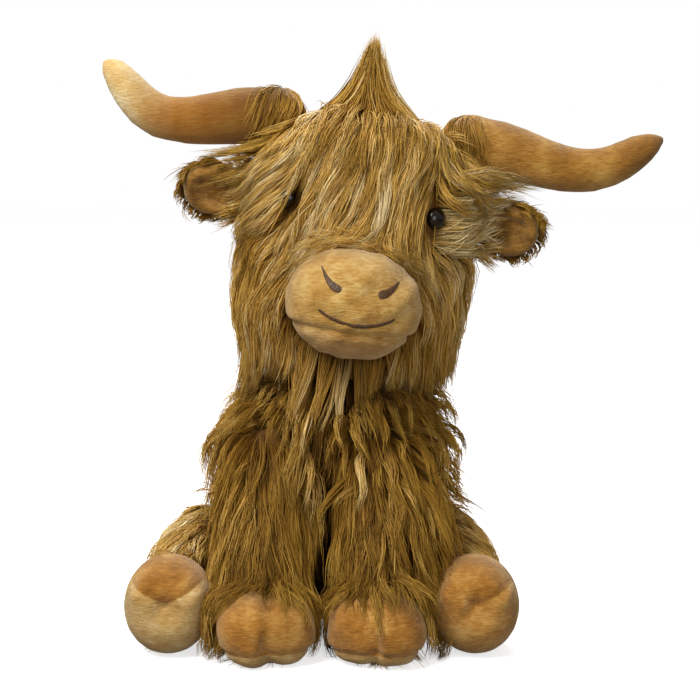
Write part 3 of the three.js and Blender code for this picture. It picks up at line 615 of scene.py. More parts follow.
def horn_form(word, side):
    shape = bmesh.new()
    reach, rise = HORN_TIPS[word]
    bends = [(0.17, 0, -2.7), (0.5, -4, -9), (0.73, -6.4, -5), (1, -8, rise)]
    path = [(-side * 12.8, 0, 0), *((side * reach * share, y, z) for share, y, z in bends)]
    widths = [1, 1, 0.9, 0.79, 0.71, 0.64, 0.54]
    stuffed(shape, path, HORN_RADIUS, HORN_RADIUS, widths, across=(0, 1, 0), blunt=6, rings=36)
    ball_at(shape, (0, 0, 0), HORN_RADIUS - 1)
    lift = turn_y(-HORN_LIFT)  # the left horn is posed up and the right one down
    for vert in shape.verts:
        vert.co = head_to_row(np.array(vert.co) @ lift.T + at_side(HORN_ROOT, side))
    return puffed(sewn(f"horn_{word}_velour", shape, 4, 4), 1.5)


def front_leg_form(word, side):
    shape = bmesh.new()
    root = at_side(SHOULDER, side)
    knees = ((0.42, 0.36), (0.8, 0.7), (1, 1))
    path = [root - (0, LEG_FORWARD * forward, LEG_DROP * drop) for forward, drop in knees]
    path.insert(0, root - unit(path[0] - root) * 14)
    stuffed(shape, path, *LEG_HALVES, [0.84, 0.94, 0.98, 1, 1.02, 1.02], blunt=5)
    ball_at(shape, root, 26)
    return sewn(f"front_leg_{word}_backing", shape, 4, 6, PILE, lambda points: raised(points, 2))


def front_hoof_form(word, side):
    shape = bmesh.new()
    for x, y, half in FRONT_TOES:
        path = [(side * 33, -64, 20.5), (side * x, y, 17.6)]
        stuffed(shape, path, half, 21, [1.08, 1.07, 1.02, 1], [1, 1, 0.95, 0.86], blunt=4.5, rings=24)
    form = puffed(sewn(f"front_hoof_{word}_velour", shape, 4, 3), 1.5)

    def cloven(points, ways):
        """The cleft runs back from between the toes, and the sole's seam goes round them."""
        x, y, z = points.T
        cleft = dip(side * x - 30 + 0.05 * (y + 140), 3.5) * ease(-y, 96, 140)
        cleft = cleft * (0.25 + 0.9 * ease(z, 30, 14))
        seam = dip(z - FRONT_SOLE_Z, 1.7) * ease(-y, 70, 100)
        creases = np.sin(0.5 * x + 0.21 * z) * ease(z, 24, 8) * ease(-y, 118, 140)
        lumps = np.sin(0.16 * x + 0.8) * np.sin(0.2 * z + 0.13 * x)
        return ways * (0.7 * creases + 0.8 * lumps - 4.4 * cleft - 1.4 * seam)[:, None]

    pressed(form, cloven)
    put_corners(form, raised(corners(form), 0))
    cutter = bmesh.new()
    block(cutter, (-200, -300, -50), (200, 100, FRONT_SOLE_Z))
    return parted(form, (f"front_hoof_{word}_sole_velour", f"front_hoof_{word}_upper_velour"), cutter)


def rear_leg_form(word, side):
    shape = bmesh.new()
    x, y, z = HIP
    path = [(side * x, y + 16, z), (side * (x + 8), y - 57.2, z - 2.4), (side * (x + 16), y - 104, z - 4)]
    stuffed(shape, path, THIGH_RADIUS, THIGH_RADIUS, [0.9, 1, 1, 0.95, 0.85, 0.76], blunt=5)
    ball_at(shape, (side * x, y, z), THIGH_RADIUS + 1.5)

    def lying(points):
        points[:, 0] = side * np.maximum(side * points[:, 0], THIGH_INNER_X + PILE)
        return raised(points, 2)

    return sewn(f"rear_leg_{word}_backing", shape, 4, 6, PILE, lying)


def rear_hoof_form(word, side):
    shape = bmesh.new()
    middle = side * REAR_HOOF_X
    path = [(middle, -50, REAR_HOOF_Z), (middle, -110, REAR_HOOF_Z)]
    stuffed(shape, path, *REAR_HOOF_HALVES, [0.95, 1, 1, 0.97], rings=28, around=36)
    form = puffed(sewn(f"rear_hoof_{word}_velour", shape, 4, 4), 2.5)
    arms = [(middle + out, REAR_CLEFT_Z + abs(out) * REAR_CLEFT_SLOPE) for out in (-30, 0, 30)]

    def cloven(points, ways):
        """The V of the cap's seam dents the sole deeply at its point and lifts a pillow either side."""
        x, y, z = points.T
        away = near_line(np.stack([x, z], axis=1), arms)
        dent = dip(np.hypot(x - middle, z - REAR_CLEFT_Z + 2), 8.5)
        pillows = dip(np.hypot(np.abs(x - middle) - 14, z - 37), 7)
        tucks = np.sin(0.55 * x - 0.3 * z) * dip(away, 9)
        rise = 3.0 * pillows + 0.5 * tucks - 6.0 * dent - 1.8 * dip(away, 2.2)
        return ways * (ease(-y, 84, 104) * rise)[:, None]

    pressed(form, cloven)
    places = raised(corners(form), 0)
    places[:, 0] = side * np.maximum(side * places[:, 0], REAR_HOOF_INNER_X)
    put_corners(form, places)
    cutter = bmesh.new()
    block(cutter, (-300, REAR_SEAM_Y, -50), (300, 100, 100))
    wedge = block(cutter, (0, -300, 0), (100, 90, 100))
    quarter = Matrix.Rotation(math.radians(-45), 3, "Y")
    bmesh.ops.rotate(cutter, verts=wedge, cent=(0, 0, 0), matrix=quarter)
    bmesh.ops.scale(cutter, verts=wedge, vec=(1, 1, REAR_CLEFT_SLOPE))
    bmesh.ops.translate(cutter, verts=wedge, vec=(middle, 0, REAR_CLEFT_Z))
    return parted(form, (f"rear_hoof_{word}_cap_velour", f"rear_hoof_{word}_sole_velour"), cutter)


def tail_form():
    shape = bmesh.new()
    x, y, z = TAIL_ROOT
    bends = ((0, 0), (0.55, 0.08), (0.95, 0.4), (1, 1))
    path = [(x, y + TAIL_OUT * out, z - TAIL_DROP * drop) for out, drop in bends]
    stuffed(shape, path, TAIL_RADIUS, TAIL_RADIUS, [0.95, 1, 1, 0.9, 0.8], blunt=8, rings=24, around=16)
    ball_at(shape, TAIL_ROOT, TAIL_RADIUS)
    return sewn("tail_cord_backing", shape, 2.5, 3, 2.0)


def ear_form(word, side):
    """A leaf cupped to the front, with its rim and its tip curled over."""
    shape = bmesh.new()
    path = [(-side * 4, 0, 0), (side * EAR_LENGTH / 2, -3.2, 0), (side * EAR_LENGTH, -8, 0)]
    stuffed(shape, path, *EAR_HALVES, [0.72, 1, 1.08, 1.05, 0.9], across=(0, 0, 1), blunt=3.4)
    ball_at(shape, (0, 0, 0), EAR_HALVES[1])
    form = smoother(sewn(f"ear_{word}_form", shape, 2.5, 3))

    def cupped(points, ways):
        x, y, z = points.T
        out = side * x
        front = ease(-(y + EAR_LEAN * out), -1, 4)
        hollow = np.exp(-((((out - 14) / 11) ** 2 + ((z + 2.5) / 7.5) ** 2) ** 1.6))
        fold = dip(z - 6 + 0.014 * (out - 12) ** 2, 2.2) * ease(out, 3, 9) * ease(out, 31, 24)
        tip = ease(out, 23, 32) * dip(z - 3, 9)
        return ways_of(0 * x, front * (8.5 * hollow + 4.5 * fold - 3.5 * tip), 0)

    pressed(form, cupped)
    cutter = bmesh.new()
    front = block(cutter, (-100, -200, -100), (100, 0, 100))
    lean = Matrix.Rotation(-side * math.atan(EAR_LEAN), 3, "Z")
    bmesh.ops.rotate(cutter, verts=front, cent=(0, 0, 0), matrix=lean)
    bmesh.ops.translate(cutter, verts=front, vec=(0, 1.0, 0))
    parts = parted(form, (f"ear_{word}_lining_velour", f"ear_{word}_backing"), cutter)
    for part in parts:
        put_corners(part, head_to_row(corners(part) + at_side(EAR_ROOT, side)))
    return parts


def on_face(tree, x, z):
    """Where a line from the front, at this x and z of the head, meets a form, and the way out there."""
    way = HEAD_TURN @ np.array([0, 1.0, 0])
    spot, normal, _, _ = tree.ray_cast(Vector(head_to_row((x, -200, z))), Vector(way))
    return np.array(spot), np.array(normal)


def stitched(name, tree, line, widths, height=0.6):
    """A raised bar of satin stitch along a line on the muzzle's face."""
    hits = [on_face(tree, MUZZLE_X + x, z) for x, z in line]
    spots, ways = (np.array(part) for part in zip(*hits))
    shape = bmesh.new()
    made = bmesh.ops.create_uvsphere(shape, u_segments=16, v_segments=48, radius=1)["verts"]
    ball = np.array([v.co for v in made])
    at = (ball[:, 2] + 1) / 2
    out = unit(spline(ways, at))
    along = spline(spots, np.minimum(at + 0.01, 1)) - spline(spots, np.maximum(at - 0.01, 0))
    across = unit(np.cross(out, along))
    swell = np.clip(1 - np.abs(2 * at - 1) ** 5, 0, 1) ** 0.5
    rim = unit(ball[:, :2]) * swell[:, None]
    rungs = 1 + 0.16 * np.sin(at * 2 * math.pi * 24)
    sideways = across * (rim[:, 0] * spline(widths, at))[:, None]
    upwards = out * (rim[:, 1] * height * rungs)[:, None]
    for vert, place in zip(made, spline(spots, at) + sideways + upwards):
        vert.co = place
    obj = object_of(name, shape)
    obj.data.shade_smooth()
    return obj


def eye_form(word, side, tree):
    """A domed eye on its stem, pushed through the head's fabric."""
    spot, way = on_face(tree, side * EYE[0], EYE[1])
    shape = bmesh.new()
    made = bmesh.ops.create_uvsphere(shape, u_segments=32, v_segments=20, radius=EYE_RADIUS)["verts"]
    bmesh.ops.scale(shape, verts=made, vec=(1, 1, 0.7))
    down = Matrix.Translation((0, 0, -6))
    bmesh.ops.create_cone(shape, cap_ends=True, segments=16, radius1=1.6, radius2=1.6, depth=12, matrix=down)
    sunk = 4.8 if side > 0 else 2.2  # the hair closes further over the toy's left eye
    turn = Vector((0, 0, 1)).rotation_difference(Vector(way)).to_matrix()
    for vert in shape.verts:
        vert.co = turn @ vert.co + Vector(spot + way * (PILE - sunk))
    obj = object_of(f"eye_{word}_dome", shape)
    obj.data.shade_smooth()
    return obj


def pouch_form():
    """The calico bag of weighting pellets that lies in the seat."""
    shape = bmesh.new()
    stuffed(shape, [(-36, 17, 11), (36, 17, 11)], 32, 23, [1, 1], across=(0, 1, 0), blunt=2.4)
    return sewn("pellet_pouch_calico", shape, 4, 2, 0, lambda points: raised(points, 2.35))


# Hair. Every length of it is in millimetres.

rng = np.random.default_rng(20)
FLOOR_CLEARANCE = 0.8
STRAND_WIDTH = 0.58
COMBED = (0.5, 0.92)  # how far hairs of one lock run together, from least to most


def scatter(obj, count, weight):
    """Random points on a surface with their normals. weight gives how thickly hair grows at a point."""
    obj.data.calc_loop_triangles()
    faces = np.empty(len(obj.data.loop_triangles) * 3, int)
    obj.data.loop_triangles.foreach_get("vertices", faces)
    faces = faces.reshape(-1, 3)
    places, ways = corners(obj), normals_of(obj)
    a, b, c = (places[faces[:, i]] for i in range(3))
    area = np.linalg.norm(np.cross(b - a, c - a), axis=1) * weight((a + b + c) / 3)
    pick = rng.choice(len(faces), count, p=area / area.sum())
    one, two = rng.random(count), rng.random(count)
    over = one + two > 1
    one[over], two[over] = 1 - one[over], 1 - two[over]
    shares = np.stack([1 - one - two, one, two], axis=1)[:, :, None]
    corner = faces[pick]
    return (places[corner] * shares).sum(axis=1), unit((ways[corner] * shares).sum(axis=1))


def grow(
    roots,
    ways,
    lengths,
    flow,
    tree,
    steps=9,
    lift=0.5,
    stiff=0.55,
    cover=(1.5, 7.0),
    hug=0.35,
    free=-99.0,
    fuller=None,
):
    """Guide hairs: each leaves the skin, follows the flow of the coat and lies on what it meets, at its
    own height within cover. Below the height given as free it hangs, and no longer hugs the form."""
    lines = [roots.copy()]
    heading = unit(ways * lift + flow(roots))
    layer = rng.uniform(*cover, len(roots)) * (fuller(roots) if fuller else 1)
    place = roots.copy()
    for step in range(1, steps):
        heading = unit(heading * stiff + unit(flow(place)) * (1 - stiff))
        place = place + heading * (lengths / (steps - 1))[:, None]
        risen = min(1.0, step / (steps - 1) * 2.2)  # it reaches its height before half its length
        for i, spot in enumerate(place):
            near, way, _, _ = tree.find_nearest(Vector(spot))
            near, way = np.array(near), np.array(way)
            height = float((spot - near) @ way)
            want = layer[i] * risen
            if height < want:
                place[i] = spot + way * min(want - height, 6.0)
            elif height > want and spot[2] > free:
                place[i] = spot - way * (height - want) * hug
        place[:, 2] = np.maximum(place[:, 2], 1.5)
        heading = unit(place - lines[-1])
        lines.append(place.copy())
    return np.stack(lines, axis=1)


def waved(lines, ways, height, length):
    """Guide hairs with a soft wave across them, which grows towards the tip."""
    along = unit(np.gradient(lines, axis=1))
    across = unit(np.cross(along, ways[:, None, :]))
    run = np.linalg.norm(np.diff(lines, axis=1), axis=2).sum(axis=1)
    share = np.linspace(0, 1, lines.shape[1])[None, :]
    phase = rng.uniform(0, 2 * math.pi, len(lines))[:, None]
    size = height * rng.uniform(0.4, 1.3, len(lines))[:, None]
    wave = np.sin(phase + 2 * math.pi * share * run[:, None] / length) - np.sin(phase)
    return lines + across * (wave * size * share**0.7)[:, :, None]


def thatch(lines, guide_tones, roots, clump, frizz, points):
    """Hairs between the guides: each keeps its own root and runs together with its guide's tip."""
    finder = KDTree(len(lines))
    for i, root in enumerate(lines[:, 0]):
        finder.insert(Vector(root), i)
    finder.balance()
    nearest = np.array([finder.find(Vector(root))[1] for root in roots])
    steps, one_each = lines.shape[1] - 1, (len(roots), 1, 3)
    share = np.linspace(0, 1, points)[None, :] * rng.uniform(0.72, 1.06, len(roots))[:, None]
    spot = np.clip(share, 0, 0.9999) * steps
    low = spot.astype(int)
    part = (spot - low)[:, :, None]
    base = lines[nearest[:, None], low] * (1 - part) + lines[nearest[:, None], low + 1] * part
    over = np.clip(share - 1, 0, 1)[:, :, None]
    base = base + (lines[nearest, -1] - lines[nearest, -2])[:, None, :] * over * steps
    offset = (roots - lines[nearest, 0])[:, None, :]
    pull = rng.uniform(*clump, len(roots))[:, None]
    kept = (1 - pull * ease(share, 0.0, 0.85))[:, :, None]
    stray = np.where(rng.random((len(roots), 1, 1)) < 0.03, 4.0, 1.0)
    loose = rng.normal(0, 1, one_each) * stray * frizz * (share**1.3)[:, :, None]
    curl = rng.normal(0, 1, one_each) * 0.8 * np.sin(share * math.pi)[:, :, None]
    return base + offset * kept + loose + curl, guide_tones[nearest] + rng.normal(0, 0.07, len(roots))


def strand_mesh(name, lines, ways, tones, width=STRAND_WIDTH, root_shade=0.01):
    """Tapered three-sided strands through rows of points. No operator makes these by the thousand, so
    their corners are laid out here, row by row from root to tip."""
    count, points = lines.shape[:2]
    along = unit(np.gradient(lines, axis=1))
    side = unit(np.cross(along, np.repeat(ways[:, None, :], points, axis=1)))
    out = unit(np.cross(side, along))
    share = np.linspace(0, 1, points)
    taper = np.interp(share, [0, 0.25, 0.7, 1], [0.75, 1, 0.8, 0.0])
    wide = (width * rng.uniform(0.7, 1.3, count))[:, None] * taper[None, :]
    rings = points - 1
    ring = np.empty((count, rings, 3, 3))
    for k, (across, up) in enumerate(((-0.5, -0.22), (0.5, -0.22), (0.0, 0.4))):
        step = side[:, :rings] * across + out[:, :rings] * up
        ring[:, :, k] = lines[:, :rings] + step * wide[:, :rings, None]
    places = np.concatenate([ring.reshape(count, -1, 3), lines[:, -1:]], axis=1)

    per = rings * 3 + 1
    start = (np.arange(count) * per)[:, None, None]
    turns = [(k, (k + 1) % 3) for k in range(3)]
    lows = [r * 3 for r in range(rings - 1)]
    quads = [[low + k, low + n, low + 3 + n, low + 3 + k] for low in lows for k, n in turns]
    tris = [[(rings - 1) * 3 + k, (rings - 1) * 3 + n, per - 1] for k, n in turns] + [[0, 2, 1]]
    quad_corners, tri_corners = ((start + np.array(faces)[None]).reshape(-1) for faces in (quads, tris))
    loops = np.concatenate([quad_corners, tri_corners])
    quad_starts = np.arange(0, len(quad_corners), 4)
    tri_starts = np.arange(len(quad_corners), len(loops), 3)

    mesh = bpy.data.meshes.new(name)
    mesh.vertices.add(count * per)
    mesh.vertices.foreach_set("co", (places * MM).ravel())
    mesh.loops.add(len(loops))
    mesh.loops.foreach_set("vertex_index", loops)
    mesh.polygons.add(len(quad_starts) + len(tri_starts))
    mesh.polygons.foreach_set("loop_start", np.concatenate([quad_starts, tri_starts]))
    mesh.update(calc_edges=True)
    mesh.validate()

    level = np.append(np.repeat(share[:rings], 3), 1.0)
    spread = np.append(np.tile([-0.006, 0.006, 0.0], rings), 0.0)
    tone = np.clip(tones, 0.02, 0.98)[:, None] + spread
    shade = np.repeat(root_shade + (0.99 - root_shade) * level[None, :], count, axis=0)
    both = np.stack([tone, shade], axis=2).reshape(-1, 2)
    mesh.uv_layers.new(name="OFBake").data.foreach_set("uv", both[loops].ravel())
    mesh.shade_smooth()
    return linked(name, mesh)


def coat(
    name,
    body,
    skin,
    tree,
    flow,
    length,
    count,
    guides,
    keep,
    tone=0.5,
    nodes=(),
    points=6,
    clump=(0.35, 0.85),
    frizz=1.2,
    wave=(2.2, 48.0),
    root_shade=0.01,
    parted_at=None,
    **style,
):
    """Hair on the part of a skin where keep says, in one piece. Its length is a pair to draw from or
    depends on the place. parted_at says where no hair may pass."""
    spots, ways = scatter(skin, guides, keep)
    lengths = length(spots) if callable(length) else rng.uniform(*length, len(spots))
    lengths = lengths * rng.uniform(0.85, 1.15, len(spots))
    lines = waved(grow(spots, ways, lengths, flow, tree, **style), ways, *wave)
    patch = 0.1 * np.sin(0.1 * spots[:, 0] + 1) * np.sin(0.07 * spots[:, 2] + 0.05 * spots[:, 1])
    tones = (tone(spots) if callable(tone) else tone) + patch + rng.normal(0, 0.12, len(spots))
    roots, ways = scatter(skin, count, keep)
    hairs, tones = thatch(lines, tones, roots, clump, frizz, points)
    hairs = np.maximum(hairs, (-np.inf, -np.inf, FLOOR_CLEARANCE))
    if parted_at:
        fine = np.concatenate([hairs[:, :-1] * (1 - s) + hairs[:, 1:] * s for s in (0, 0.33, 0.67)], axis=1)
        clear = ~parted_at(fine.reshape(-1, 3)).reshape(len(hairs), -1).any(axis=1)
        hairs, ways, tones = hairs[clear], ways[clear], tones[clear]
    obj = strand_mesh(name, hairs, ways, tones, root_shade=root_shade)
    return finish_piece(obj, FUR, body, nodes)


# The toy

torso = torso_form()
head = head_form()
muzzle = muzzle_form()
horns, front_legs, front_hooves, rear_legs, rear_hooves, ears = (
    {word: form(word, side) for word, side in SIDES}
    for form in (horn_form, front_leg_form, front_hoof_form, rear_leg_form, rear_hoof_form, ear_form)
)
tail = tail_form()

finish_piece(torso, BACKING_IN_SHADE, "torso", ["torso_skin", "torso_stuffing"])
finish_piece(pouch_form(), COTTON, "torso", ["pellet_pouch"])
finish_piece(head, BACKING_IN_SHADE, "head", ["head_skin", "head_stuffing"])
finish_piece(tail, BACKING_IN_SHADE, "tail", ["tail_cord"])

muzzle_tree = tree_of(muzzle)
for word, side in SIDES:
    line = [(side * x, z) for x, z in NOSTRIL]
    nostril = stitched(f"nostril_{word}_stitches", muzzle_tree, line, [2.5, 2.6, 1.9, 1.1, 0.7])
    finish_piece(nostril, THREAD, "head", [f"nostril_{word}"])
    eye = eye_form(word, side, tree_of(head))
    finish_piece(eye, EYE_PLASTIC, "head", [f"eye_{word}"])
mouth = stitched("mouth_stitches", muzzle_tree, MOUTH, [1.5, 1.1, 1.2, 1.1, 1.5])
finish_piece(mouth, THREAD, "head", ["mouth_stitch"])
under = bmesh.new()
onto_head(block(under, (-200, -300, -200), (200, 200, CHIN_SEAM_Z)))
chin, upper_muzzle = parted(muzzle, ("muzzle_chin_velour", "muzzle_upper_velour"), under)
finish_piece(chin, CHIN_PILE, "head", ["muzzle_chin"])
finish_piece(upper_muzzle, MUZZLE_PILE, "head", ["muzzle_upper", "muzzle_stuffing"])

for word, side in SIDES:
    horn, leg, thigh, ear = f"horn_{word}", f"front_leg_{word}", f"rear_leg_{word}", f"ear_{word}"
    # The toy's left horn takes the darker velour: partly pile laid the other way, partly painted shade away
    # from the key light
    pile = STROKED_AND_SHADED_HORN if side > 0 else HORN_PILE
    finish_piece(horns[word], pile, horn, [f"{horn}_skin", f"{horn}_stuffing"])
    for skin, body in ((front_legs[word], leg), (rear_legs[word], thigh)):
        finish_piece(skin, BACKING_IN_SHADE, body, [f"{body}_sleeve", f"{body}_stuffing"])
    sole, upper = front_hooves[word]
    finish_piece(sole, SOLE_PILE, leg, [f"front_hoof_{word}_sole"])
    finish_piece(upper, ORANGE_PILE, leg, [f"front_hoof_{word}_upper"])
    cap, sole = rear_hooves[word]
    finish_piece(cap, ORANGE_PILE, thigh, [f"rear_hoof_{word}_cap"])
    # The toy's left rear sole takes the darker velour: partly pile laid the other way, partly painted shade
    # away from the key light
    pile = STROKED_AND_SHADED_SOLE if side > 0 else SOLE_PILE
    finish_piece(sole, pile, thigh, [f"rear_hoof_{word}_sole"])
    lining, outer = ears[word]
    finish_piece(lining, LINING_PILE, ear, [f"{ear}_lining"])
    finish_piece(outer, BACKING_IN_SHADE, ear, [f"{ear}_outer"])
    frame["nodes"][f"eye_washer_{word}"].data.materials[0] = WASHER_PLASTIC
frame["nodes"]["neck_seam_band"].data.materials[0] = BACKING_IN_SHADE
frame["nodes"]["base_panel"].data.materials[0] = BASE_CLOTH

# Hair of the head


def head_flow(points):
    x, y, z = row_to_head(points).T
    side, off = np.sign(x), np.abs(x)
    flow = ways_of(side * 0.1, 0.05, -1)

    def lean(weight, *way):
        """Turns the hair to another way, by as much as the weight at each point."""
        nonlocal flow
        flow = flow * (1 - weight[:, None]) + ways_of(*way) * weight[:, None]

    front = ease(-y, -25, 15)
    cheek = front * ease(off, 22, 34) * ease(z, 84, 68) * ease(z, 28, 50) * ease(off, 62, 46)
    lean(cheek, side * 0.6, -0.1, -0.85)
    temple = ease(-y, -40, 5) * ease(off, 33, 42) * ease(z, 62, 80) * ease(z, 134, 118)
    lean(temple, side * 1.0, -0.05, np.where(side > 0, 0.28, -0.36))
    brow = front * ease(off, 44, 34) * ease(z, 60, 72)
    lean(brow, -0.26 + 0.24 * np.sin(0.09 * x + 0.05 * z + 0.8), -0.3, -1)
    top = ease(z, 128, 146)
    lean(top * 0.9, x * 0.012, np.where(y < 6, -1.0, 1.0), -0.35)
    apart = np.linalg.norm(row_to_head(points) - ways_of(side * HORN_ROOT[0], *HORN_ROOT[1:]), axis=1)
    lean(0.75 * ease(apart, 36, 24) * ease(off, 40, 52), side * 1.0, -0.15, -0.5)
    return unit(flow) @ HEAD_TURN.T


def head_length(points):
    """Long over the brow, the beard and the toy's right cheek, and short beside the eyes and the ears."""
    x, y, z = row_to_head(points).T
    off = np.abs(x)
    front = ease(-y, -25, 15)
    length = 40 + 20 * front * ease(z, 80, 55)
    beard = front * ease(np.abs(x + 2), 26, 12)
    sides = ease(off, 40, 54) * np.where(x < 0, 22, -4)
    ends = 5 * np.sin(0.33 * x) * np.sin(0.29 * y + 1)
    length = np.minimum(length, np.maximum(20, (z + 6 + 42 * beard + sides + ends) / 0.9))
    middle = front * ease(off, 38, 30) * ease(z, 66, 72)
    length = length + middle * np.minimum(0, (z - 66) * 1.15 + 14 - length)
    length = length + 26 * front * ease(off, 44, 34) * ease(z, 95, 125)
    length = length + 7 * ease(-y, -40, 5) * ease(off, 38, 48) * ease(z, 76, 88) * ease(z, 134, 118)
    return length + (26 - length) * ease(off, 46, 56) * ease(z, 66, 78) * ease(z, 120, 108)


def head_grows(points):
    """1 where hair grows on the head, 0 under the muzzle, the eyes, the horns, the ears and the lock."""
    local = row_to_head(points)
    x, y, z = local.T
    grows = np.ones(len(x))
    grows[(y < 0) & (((x - 1) / 37) ** 2 + ((z - MUZZLE_Z) / 32) ** 2 < 1)] = 0
    for _, side in SIDES:
        inward, bare = (3.4, 3.9) if side > 0 else (2, 5)
        grows[(y < 0) & (np.hypot(x - side * (EYE[0] - inward), z - EYE[1]) < bare)] = 0
        for root, radius in ((HORN_ROOT, 17), (EAR_ROOT, 9)):
            grows[np.linalg.norm(local - at_side(root, side), axis=1) < radius] = 0
    grows[(z > 140) & (np.hypot(x / 1.5, y - 10) < 16)] = 0
    grows[(z < 14) & (np.hypot(x, y) < 34)] = 0
    return grows


def over_eyes(points):
    """Whether a hair's point hides an eye's open part. The viewer sees the inner half of each."""
    x, y, z = row_to_head(points).T
    right = ((x + EYE[0] - 2.8) / 3.8) ** 2 + ((z - EYE[1] - 0.5) / 3.8) ** 2 < 1
    left = ((x - EYE[0] + 2.8) / 2.4) ** 2 + ((z - EYE[1] - 0.5) / 4.6) ** 2 < 1
    return (y < -20) & (right | left)


def in_region(test, middle, side):
    """How thickly hair grows in one region of the head, on one side of where its two pieces meet."""

    def weight(points):
        x, y, z = row_to_head(points).T
        return head_grows(points) * test(x, y, z) * (side * (x - middle) > 0)

    return weight


def is_brow(x, y, z):
    return (y < 0) & (np.abs(x) < 40) & (z > 70)


def is_temple(x, y, z):
    return (y < 8) & (np.abs(x) >= 40) & (z > 70)


def is_front_low(x, y, z):
    return (y < 0) & (z <= 70)


def is_back(x, y, z):
    return ~is_brow(x, y, z) & ~is_temple(x, y, z) & ~is_front_low(x, y, z)


ear_parts = [part for pair in ears.values() for part in pair]
head_tree = tree_of(head, upper_muzzle, chin, *horns.values(), *ear_parts, torso, *front_legs.values())

# Each region's test, where its two pieces meet, strands, guide hairs, points of a strand and tones
HEAD_REGIONS = {
    "fringe": (is_brow, 0, 4600, 210, 6, (0.76, 0.76)),
    "temple": (is_temple, 0, 2700, 200, 5, (0.88, 0.64)),
    "cheek": (is_front_low, 6, 4200, 260, 6, (0.7, 0.7)),
    "back": (is_back, 0, 2600, 260, 5, (0.5, 0.5)),
}
for region, (test, middle, count, guides, points, tones) in HEAD_REGIONS.items():
    for (word, side), tone in zip(SIDES, tones):
        coat(
            f"head_{region}_{word}",
            "head",
            head,
            head_tree,
            head_flow,
            head_length,
            count,
            guides,
            in_region(test, middle, side),
            tone,
            points=points,
            clump=COMBED,
            wave=(3.0, 56.0),
            parted_at=over_eyes,
            free=165.0,
        )


def horn_collar(word, side):
    """Long pile round the horn's root, which falls over the front of it."""

    def flow(points):
        x, y, z = row_to_head(points).T
        return unit(ways_of(side * 0.2, 0.35 * np.tanh(y / 4 - 0.8), -1)) @ HEAD_TURN.T

    def grows(points):
        x, y, z = row_to_head(points).T
        ragged = 3.5 * np.sin(0.45 * z + side) + 2.5 * np.sin(0.6 * y)
        return ease(side * x + ragged, 68, 46) ** 1.5 * ((side * x > 34) & (z > 130))

    coat(
        f"horn_{word}_collar_hair",
        "head",
        horns[word],
        tree_of(horns[word], head),
        flow,
        (22, 42),
        1200,
        140,
        grows,
        points=7,
        clump=(0.3, 0.8),
        cover=(0.6, 2.6),
        lift=0.3,
        hug=0.8,
    )


for word, side in SIDES:
    horn_collar(word, side)


def crown_lock():
    """The standing lock: hairs drawn in from all round the crown to one point, with hollow flanks."""
    tree = tree_of(head)
    count, points = 2600, 8
    angle = rng.uniform(0, 2 * math.pi, count)
    far = np.sqrt(rng.random(count)) * rng.normal(1, 0.13, count) * (1 + 0.12 * np.sin(7 * angle))
    x, y = LOCK_FOOT[0] * far * np.cos(angle), 5 + LOCK_FOOT[1] * far * np.sin(angle)
    above = [head_to_row((a, b, 165)) for a, b in zip(x, y)]
    starts = row_to_head([tree.find_nearest(Vector(spot))[0] for spot in above])
    share = np.linspace(0, 1, points)[None, :] * rng.uniform(0.35, 1.0, count)[:, None] ** 0.6
    tips = np.array(LOCK_TIP) + rng.normal(0, 1, (count, 3)) * (1.5, 1.5, 2.0)
    rise = share ** (1.0 + 0.35 * far[:, None])
    sink = np.interp(rise, LOCK_HEIGHTS, LOCK_WIDTHS)
    turn = 0.5 * np.sin(math.pi * share) * rng.normal(0, 2.0, (count, 1))
    flat = starts[:, None, :2] * sink[:, :, None] + tips[:, None, :2] * (1 - sink)[:, :, None]
    height = starts[:, 2:] + (tips[:, 2:] - starts[:, 2:]) * rise
    lines = np.stack([flat[:, :, 0] + turn, flat[:, :, 1], height], axis=2)
    tones = 0.55 + 0.2 * np.sin(3 * angle + 2.2) + 0.12 * far * np.sign(x) + rng.normal(0, 0.14, count)
    outward = unit(ways_of(x, y - 3, 6)) @ HEAD_TURN.T
    obj = strand_mesh("crown_lock_hair", head_to_row(lines), outward, tones, 0.7, 0.25)
    finish_piece(obj, FUR, "head", ["crown_lock"])


crown_lock()


def parting(points):
    """The ring round the standing lock's foot where the fringe begins."""
    x, y, z = row_to_head(points).T
    far = np.hypot(x / LOCK_FOOT[0], (y - 8) / 31)
    return ((z > 120) & (far > 0.5) & (far < 1.3) & (y < 4)).astype(float)


coat(
    "crown_parting_hair",
    "head",
    head,
    head_tree,
    head_flow,
    (30, 55),
    1500,
    260,
    parting,
    0.6,
    clump=(0.2, 0.7),
    frizz=0.7,
    root_shade=0.4,
    parted_at=over_eyes,
    cover=(4.0, 10.0),
    lift=1.3,
    stiff=0.75,
)


def ear_coat(word, side):
    """Hair on an ear's back and over its rim, with ragged ends past its tip."""
    root = at_side(EAR_ROOT, side)

    def flow(points):
        x, y, z = (row_to_head(points) - root).T
        over, under = ease(z, 2, 8)[:, None], ease(z, -5, -11)[:, None]
        way = ways_of(side, 0.05 * y, -0.5 + 0.02 * z)
        way = way * (1 - over) + np.array([side * 0.85, -0.7, -0.35]) * over
        return unit(way * (1 - under) + np.array([side * 0.5, -0.1, -1.0]) * under) @ HEAD_TURN.T

    def grows(points):
        x, y, z = (row_to_head(points) - root).T
        behind = y + EAR_LEAN * side * x > 1.8
        return np.where((side * x > 2) & (behind | (z > 8)), 1.0 + 2.0 * (z > 6), 0.0)

    coat(
        f"ear_{word}_hair",
        f"ear_{word}",
        ears[word][1],
        tree_of(*ears[word]),
        flow,
        (10, 20),
        1600,
        150,
        grows,
        0.4,
        points=5,
        frizz=1.0,
        cover=(0.8, 2.8),
    )


for word, side in SIDES:
    ear_coat(word, side)

# Hair of the body and the legs


